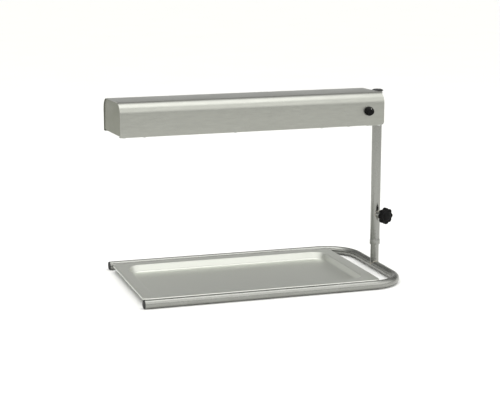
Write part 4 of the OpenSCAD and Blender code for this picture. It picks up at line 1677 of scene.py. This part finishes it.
class WARMER_OT_reflector(PieceOperator, bpy.types.Operator):
    """Fold the polished reflector over the lamps."""

    bl_idname = "warmer.reflector"
    bl_label = "Reflector"

    def build(self, settings):
        low, high = span("reflector", HEAD)
        sheet = 0.8 * MM
        lip = low.z + sheet
        top = high.z
        half_top = 28 * MM + sheet
        half_low = 52 * MM + sheet
        bend = 3 * MM
        corners = [
            (low.y, lip), (-half_low, lip, bend), (-half_top, top, bend),
            (half_top, top, bend), (half_low, lip, bend), (high.y, lip),
        ]
        mesh = folded("lamp_reflector", corners, sheet, low.x, high.x, HEAD, steps=6)
        polish = polished_metal("polished_aluminium", (0.82, 0.83, 0.84), 0.14, size=18.0)
        install("lamp_reflector", mesh, "head", [polish], ["reflector"])


class WARMER_OT_guard(PieceOperator, bpy.types.Operator):
    """Lay out and weld the guard's wires under the lamps."""

    bl_idname = "warmer.guard"
    bl_label = "Wire guard"

    def build(self, settings):
        lamps = settings.lamps
        low, high = span("wire_guard", HEAD)
        radius = (high.z - low.z + 0.1 * MM) / 4
        chrome = polished_metal("guard_chrome", (0.6, 0.6, 0.6), 0.12)
        values = {
            "Length": high.x - low.x - 4 * MM, "Width": high.y - low.y,
            "Wires": lamps.guard_wires, "Rails": lamps.guard_rails, "Rail spread": 84 * MM,
            "Wire radius": radius, "Rail rise": 2 * radius - 0.1 * MM, "Material": chrome,
        }
        mesh = grown("lamp_guard", guard_tree, values)
        middle = Vector(((low.x + high.x) / 2, (low.y + high.y) / 2, low.z + radius))
        mesh.transform(HEAD @ Matrix.Translation(middle))
        install("lamp_guard", mesh, "head", [chrome], ["wire_guard"])


class WARMER_OT_lamps(PieceOperator, bpy.types.Operator):
    """Make the two quartz lamps: tubes, end caps and coiled filaments."""

    bl_idname = "warmer.lamps"
    bl_label = "Lamps"

    def build(self, settings):
        lamps = settings.lamps
        along = HEAD.to_3x3() @ Vector((1, 0, 0))
        tubes = solids("quartz_tubes", HEAD)
        low, high = tubes[0]
        radius = (high.y - low.y) / 2
        bore = radius - 1 * MM
        glass_length = high.x - low.x
        half = glass_length / 2
        middles = [(HEAD @ ((box[0] + box[1]) / 2), along) for box in tubes]
        corners = [
            (bore, -half, 0.4 * MM), (radius, -half, 0.45 * MM), (radius, half, 0.45 * MM),
            (bore, half, 0.4 * MM),
        ]
        tube = turned("tube", corners, sides=40, hollow=True)
        glass = quartz_glass()
        mesh = set_out("quartz_lamps", tube, middles, glass)
        install("quartz_lamps", mesh, "head", [glass], ["quartz_tubes"])

        tungsten = polished_metal("tungsten", (0.2, 0.19, 0.18), 0.45, size=80.0)
        values = {
            "Radius": 1 * MM - lamps.coil_wire, "Length": glass_length, "Pitch": lamps.coil_pitch,
            "Wire radius": lamps.coil_wire, "Material": tungsten,
        }
        coil = grown("coil", coil_tree, values)
        mesh = set_out("coiled_filaments", coil, middles, tungsten)
        install("coiled_filaments", mesh, "head", [tungsten], ["filaments"])

        spots = []
        for low, high in solids("lamp_caps", HEAD):
            middle = HEAD @ ((low + high) / 2)
            nearest = min(tubes, key=lambda box: abs((box[0].x + box[1].x - low.x - high.x)))
            side = 1 if low.x + high.x > nearest[0].x + nearest[1].x else -1
            spots.append((middle, along * side))
        cap_length = high.x - low.x
        back = -cap_length / 2
        body = cap_length - 4 * MM
        width = (high.y - low.y) / 2
        corners = [
            (0, back), (width, back, 0.5 * MM), (width, back + body * 0.3, 0.2 * MM),
            (width - 0.5 * MM, back + body * 0.34, 0.2 * MM),
            (width - 0.5 * MM, back + body * 0.5, 0.2 * MM), (width, back + body * 0.54, 0.2 * MM),
            (width, back + body, 0.8 * MM), (3.8 * MM, back + body, 0.4 * MM),
            (3.8 * MM, -back, 0.8 * MM), (0, -back),
        ]
        part = turned("cap", corners, sides=48)
        mesh = set_out("lamp_end_caps", part, spots, steatite("steatite"))
        install("lamp_end_caps", mesh, "head", [steatite("steatite")], ["lamp_caps"])


class WARMER_OT_holders(PieceOperator, bpy.types.Operator):
    """Ease the ceramic lamp holders and their steel brackets."""

    bl_idname = "warmer.holders"
    bl_label = "Lamp holders"

    def build(self, settings):
        blocks = eased_copy("lamp_holders", 0.9 * MM, 3)
        holder = steatite("steatite")
        install("ceramic_holders", blocks, "head", [holder], ["lamp_holders"])
        straps = eased_copy("holder_brackets", 0.2 * MM)
        install("holder_straps", straps, "head", [inner_metal()], ["holder_brackets"])


# ---- operators: regulator ----


class WARMER_OT_regulator(PieceOperator, bpy.types.Operator):
    """Make the regulator's fluted knob and its nut, and finish what is behind them."""

    bl_idname = "warmer.regulator"
    bl_label = "Regulator"

    def build(self, settings):
        knobs = settings.knobs
        low, high = span("regulator_knob", DIAL)
        reach = high.x
        back, face = low.z, high.z
        bore = span("regulator_shaft", DIAL)[1].x
        section = [
            (back, reach - 0.5 * MM, 0), (back + 0.4 * MM, reach, 0), (back + 2.2 * MM, reach, 0),
            (back + 2.9 * MM, reach - 0.4 * MM, 0), (back + 3.4 * MM, reach - 1.2 * MM, 0.6),
            (back + 4.2 * MM, reach - 1.4 * MM, 1), (face - 2.6 * MM, reach - 1.7 * MM, 1),
            (face - 1.4 * MM, reach - 2.1 * MM, 0.8), (face - 0.6 * MM, reach - 2.9 * MM, 0.3),
            (face - 0.25 * MM, reach - 3.8 * MM, 0), (face - 0.2 * MM, reach - 4.6 * MM, 0),
            (face - 0.7 * MM, reach - 5.2 * MM, 0), (face - 0.75 * MM, 0, 0),
        ]
        rings = scalloped(section, knobs.flutes, knobs.flute_depth, 1.4, 10)
        around = len(rings[0])
        hollow = [[(0, 0, back + 8 * MM)], ring(bore, back + 8 * MM, around),
                  ring(bore, back + 2.6 * MM, around), ring(5.2 * MM, back + 2.4 * MM, around),
                  ring(5.2 * MM, back, around)]
        body = skin("knob", hollow + rings, DIAL, sharp=50)
        install("regulator_dial", body, "regulator", [knob_phenolic()],
                ["regulator_knob"])

        line = [(4.6 * MM, 0.45 * MM), (reach - 2.2 * MM, 0.45 * MM), (reach - 2.2 * MM, -0.45 * MM),
                (4.6 * MM, -0.45 * MM)]
        levels = ((face - 1.2 * MM, 1.0), (face - 0.16 * MM, 1.0), (face - 0.04 * MM, 0.7))
        rings = [[(x, y * narrow, z) for x, y in line] for z, narrow in levels]
        pointer = skin("pointer", rings, DIAL)
        inlay = moulding("pointer_inlay", tuple(settings.finish.pointer), 0.5, wear=0.0)
        install("dial_pointer", pointer, "regulator", [inlay])

        low, high = span("regulator_nut", DIAL)
        nut = hexagon(max(high.x, high.y) * 2, high.z - low.z, bore=4.8 * MM)
        nut.transform(DIAL @ Matrix.Translation((0, 0, low.z)))
        install("dial_nut", nut, "head", [screw_metal()], ["regulator_nut"])
        paint("regulator_shaft", sheet_bright())
        paint("regulator_body", moulding("brown_phenolic", (0.05, 0.035, 0.028), 0.45))


# ---- operator: stage ----


def softbox(name, spot, aim, width, depth, power):
    """A large area light at spot that shines at aim."""
    light = bpy.data.lights.new(name, "AREA")
    light.shape = "RECTANGLE"
    light.size = width
    light.size_y = depth
    light.energy = power
    lamp = bpy.data.objects.new(name, light)
    bpy.context.scene.collection.objects.link(lamp)
    lamp.location = spot
    lamp.rotation_euler = (Vector(aim) - Vector(spot)).to_track_quat("-Z", "Y").to_euler()


class WARMER_OT_stage(PieceOperator, bpy.types.Operator):
    """Set the camera, a plain pale floor and soft light."""

    bl_idname = "warmer.stage"
    bl_label = "Stage"

    def build(self, settings):
        stage = settings.stage
        scene = bpy.context.scene
        level = math.cos(stage.elevation)
        back = Vector((
            math.sin(stage.azimuth) * level, -math.cos(stage.azimuth) * level,
            math.sin(stage.elevation),
        ))
        lens = bpy.data.cameras.new("camera")
        lens.lens = stage.lens
        lens.sensor_width = 36
        lens.clip_end = 60
        camera = bpy.data.objects.new("camera", lens)
        scene.collection.objects.link(camera)
        camera.location = Vector(stage.aim) + back * stage.distance
        camera.rotation_euler = (-back).to_track_quat("-Z", "Y").to_euler()
        scene.camera = camera

        floor = bpy.data.meshes.new("floor")
        reach = 40
        below = -0.2 * MM
        square = [(-reach, -reach, below), (reach, -reach, below), (reach, reach, below),
                  (-reach, reach, below)]
        floor.from_pydata(square, [], [(0, 1, 2, 3)])
        material, tree, shader, fresh = blank("pale_floor", tuple(stage.floor))
        spot = surface(tree, WORLD)
        soft = noise(tree, spot, 3.0)
        pale = tuple(stage.floor)
        shade = tinted(tree, soft, (0.3, scaled_colour(pale, 0.985)), (0.7, pale))
        tree.links.new(shade, shader.inputs["Base Color"])
        tree.links.new(ranged(tree, soft, 0.75, 0.9), shader.inputs["Roughness"])
        shader.inputs["Specular IOR Level"].default_value = 0.1
        floor.materials.append(material)
        ground = bpy.data.objects.new("floor", floor)
        scene.collection.objects.link(ground)

        world = bpy.data.worlds.new("studio")
        world.use_nodes = True
        scene.world = world
        sky = world.node_tree
        direction = node(sky, "ShaderNodeTexCoord").outputs["Generated"]
        parts = node(sky, "ShaderNodeSeparateXYZ", {0: direction}).outputs
        behind = greys(
            sky, parts[2], (0, 0.42), (0.16, 0.4), (0.25, 0.16), (0.45, 0.1), (0.7, 0.3), (1, 0.72)
        )
        before = greys(
            sky, parts[2], (0, 0.4), (0.2, 0.46), (0.34, 0.9), (0.6, 0.9), (0.8, 0.75), (1, 0.72)
        )
        turn = ranged(sky, parts[1], 0.0, 1.0, -0.3, 0.3)
        walls = node(sky, "ShaderNodeMix", {0: turn, 6: before, 7: behind}, data_type="RGBA")
        background = sky.nodes["Background"]
        sky.links.new(walls.outputs[2], background.inputs["Color"])
        background.inputs["Strength"].default_value = 2 * stage.walls

        softbox("overhead", (0, 0, 2.6), (0, 0, 0), 3.0, 2.2, stage.top_light)
        scene.view_settings.view_transform = "Standard"


# ---- the add-on ----

OPERATORS = (
    WARMER_OT_frame_tube, WARMER_OT_tube_plugs, WARMER_OT_inner_post, WARMER_OT_tray,
    WARMER_OT_collar, WARMER_OT_sleeve, WARMER_OT_clamp_screw, WARMER_OT_bracket,
    WARMER_OT_fasteners, WARMER_OT_hood, WARMER_OT_end_plates, WARMER_OT_wiring,
    WARMER_OT_gland, WARMER_OT_reflector, WARMER_OT_guard, WARMER_OT_lamps, WARMER_OT_holders,
    WARMER_OT_regulator, WARMER_OT_stage,
)


class WARMER_PT_pieces(bpy.types.Panel):
    """Lists the warmer's operators and settings in the sidebar."""

    bl_idname = "WARMER_PT_pieces"
    bl_label = "Heat Lamp Warmer"
    bl_space_type = "VIEW_3D"
    bl_region_type = "UI"
    bl_category = "Warmer"

    def draw(self, context):
        """Draws a button for each operator, then each group of settings."""
        column = self.layout.column(align=True)
        for operator in OPERATORS:
            column.operator(operator.bl_idname)
        for name in WarmerSettings.__annotations__:
            group = getattr(context.scene.warmer, name)
            box = self.layout.box()
            box.label(text=name.capitalize())
            for setting in type(group).__annotations__:
                box.prop(group, setting)


CLASSES = (
    BaseSettings, TraySettings, KnobSettings, HoodSettings, LampSettings, FinishSettings,
    StageSettings, WarmerSettings, *OPERATORS, WARMER_PT_pieces,
)


def register():
    """Registers the classes and hangs the settings on the scene."""
    for cls in CLASSES:
        bpy.utils.register_class(cls)
    bpy.types.Scene.warmer = bpy.props.PointerProperty(type=WarmerSettings)


def unregister():
    """Takes the settings and the classes away again."""
    del bpy.types.Scene.warmer
    for cls in reversed(CLASSES):
        bpy.utils.unregister_class(cls)


def main():
    """Builds every piece in order."""
    register()
    for operator in OPERATORS:
        group, name = operator.bl_idname.split(".")
        getattr(getattr(bpy.ops, group), name)()


if __name__ == "__main__":
    main()
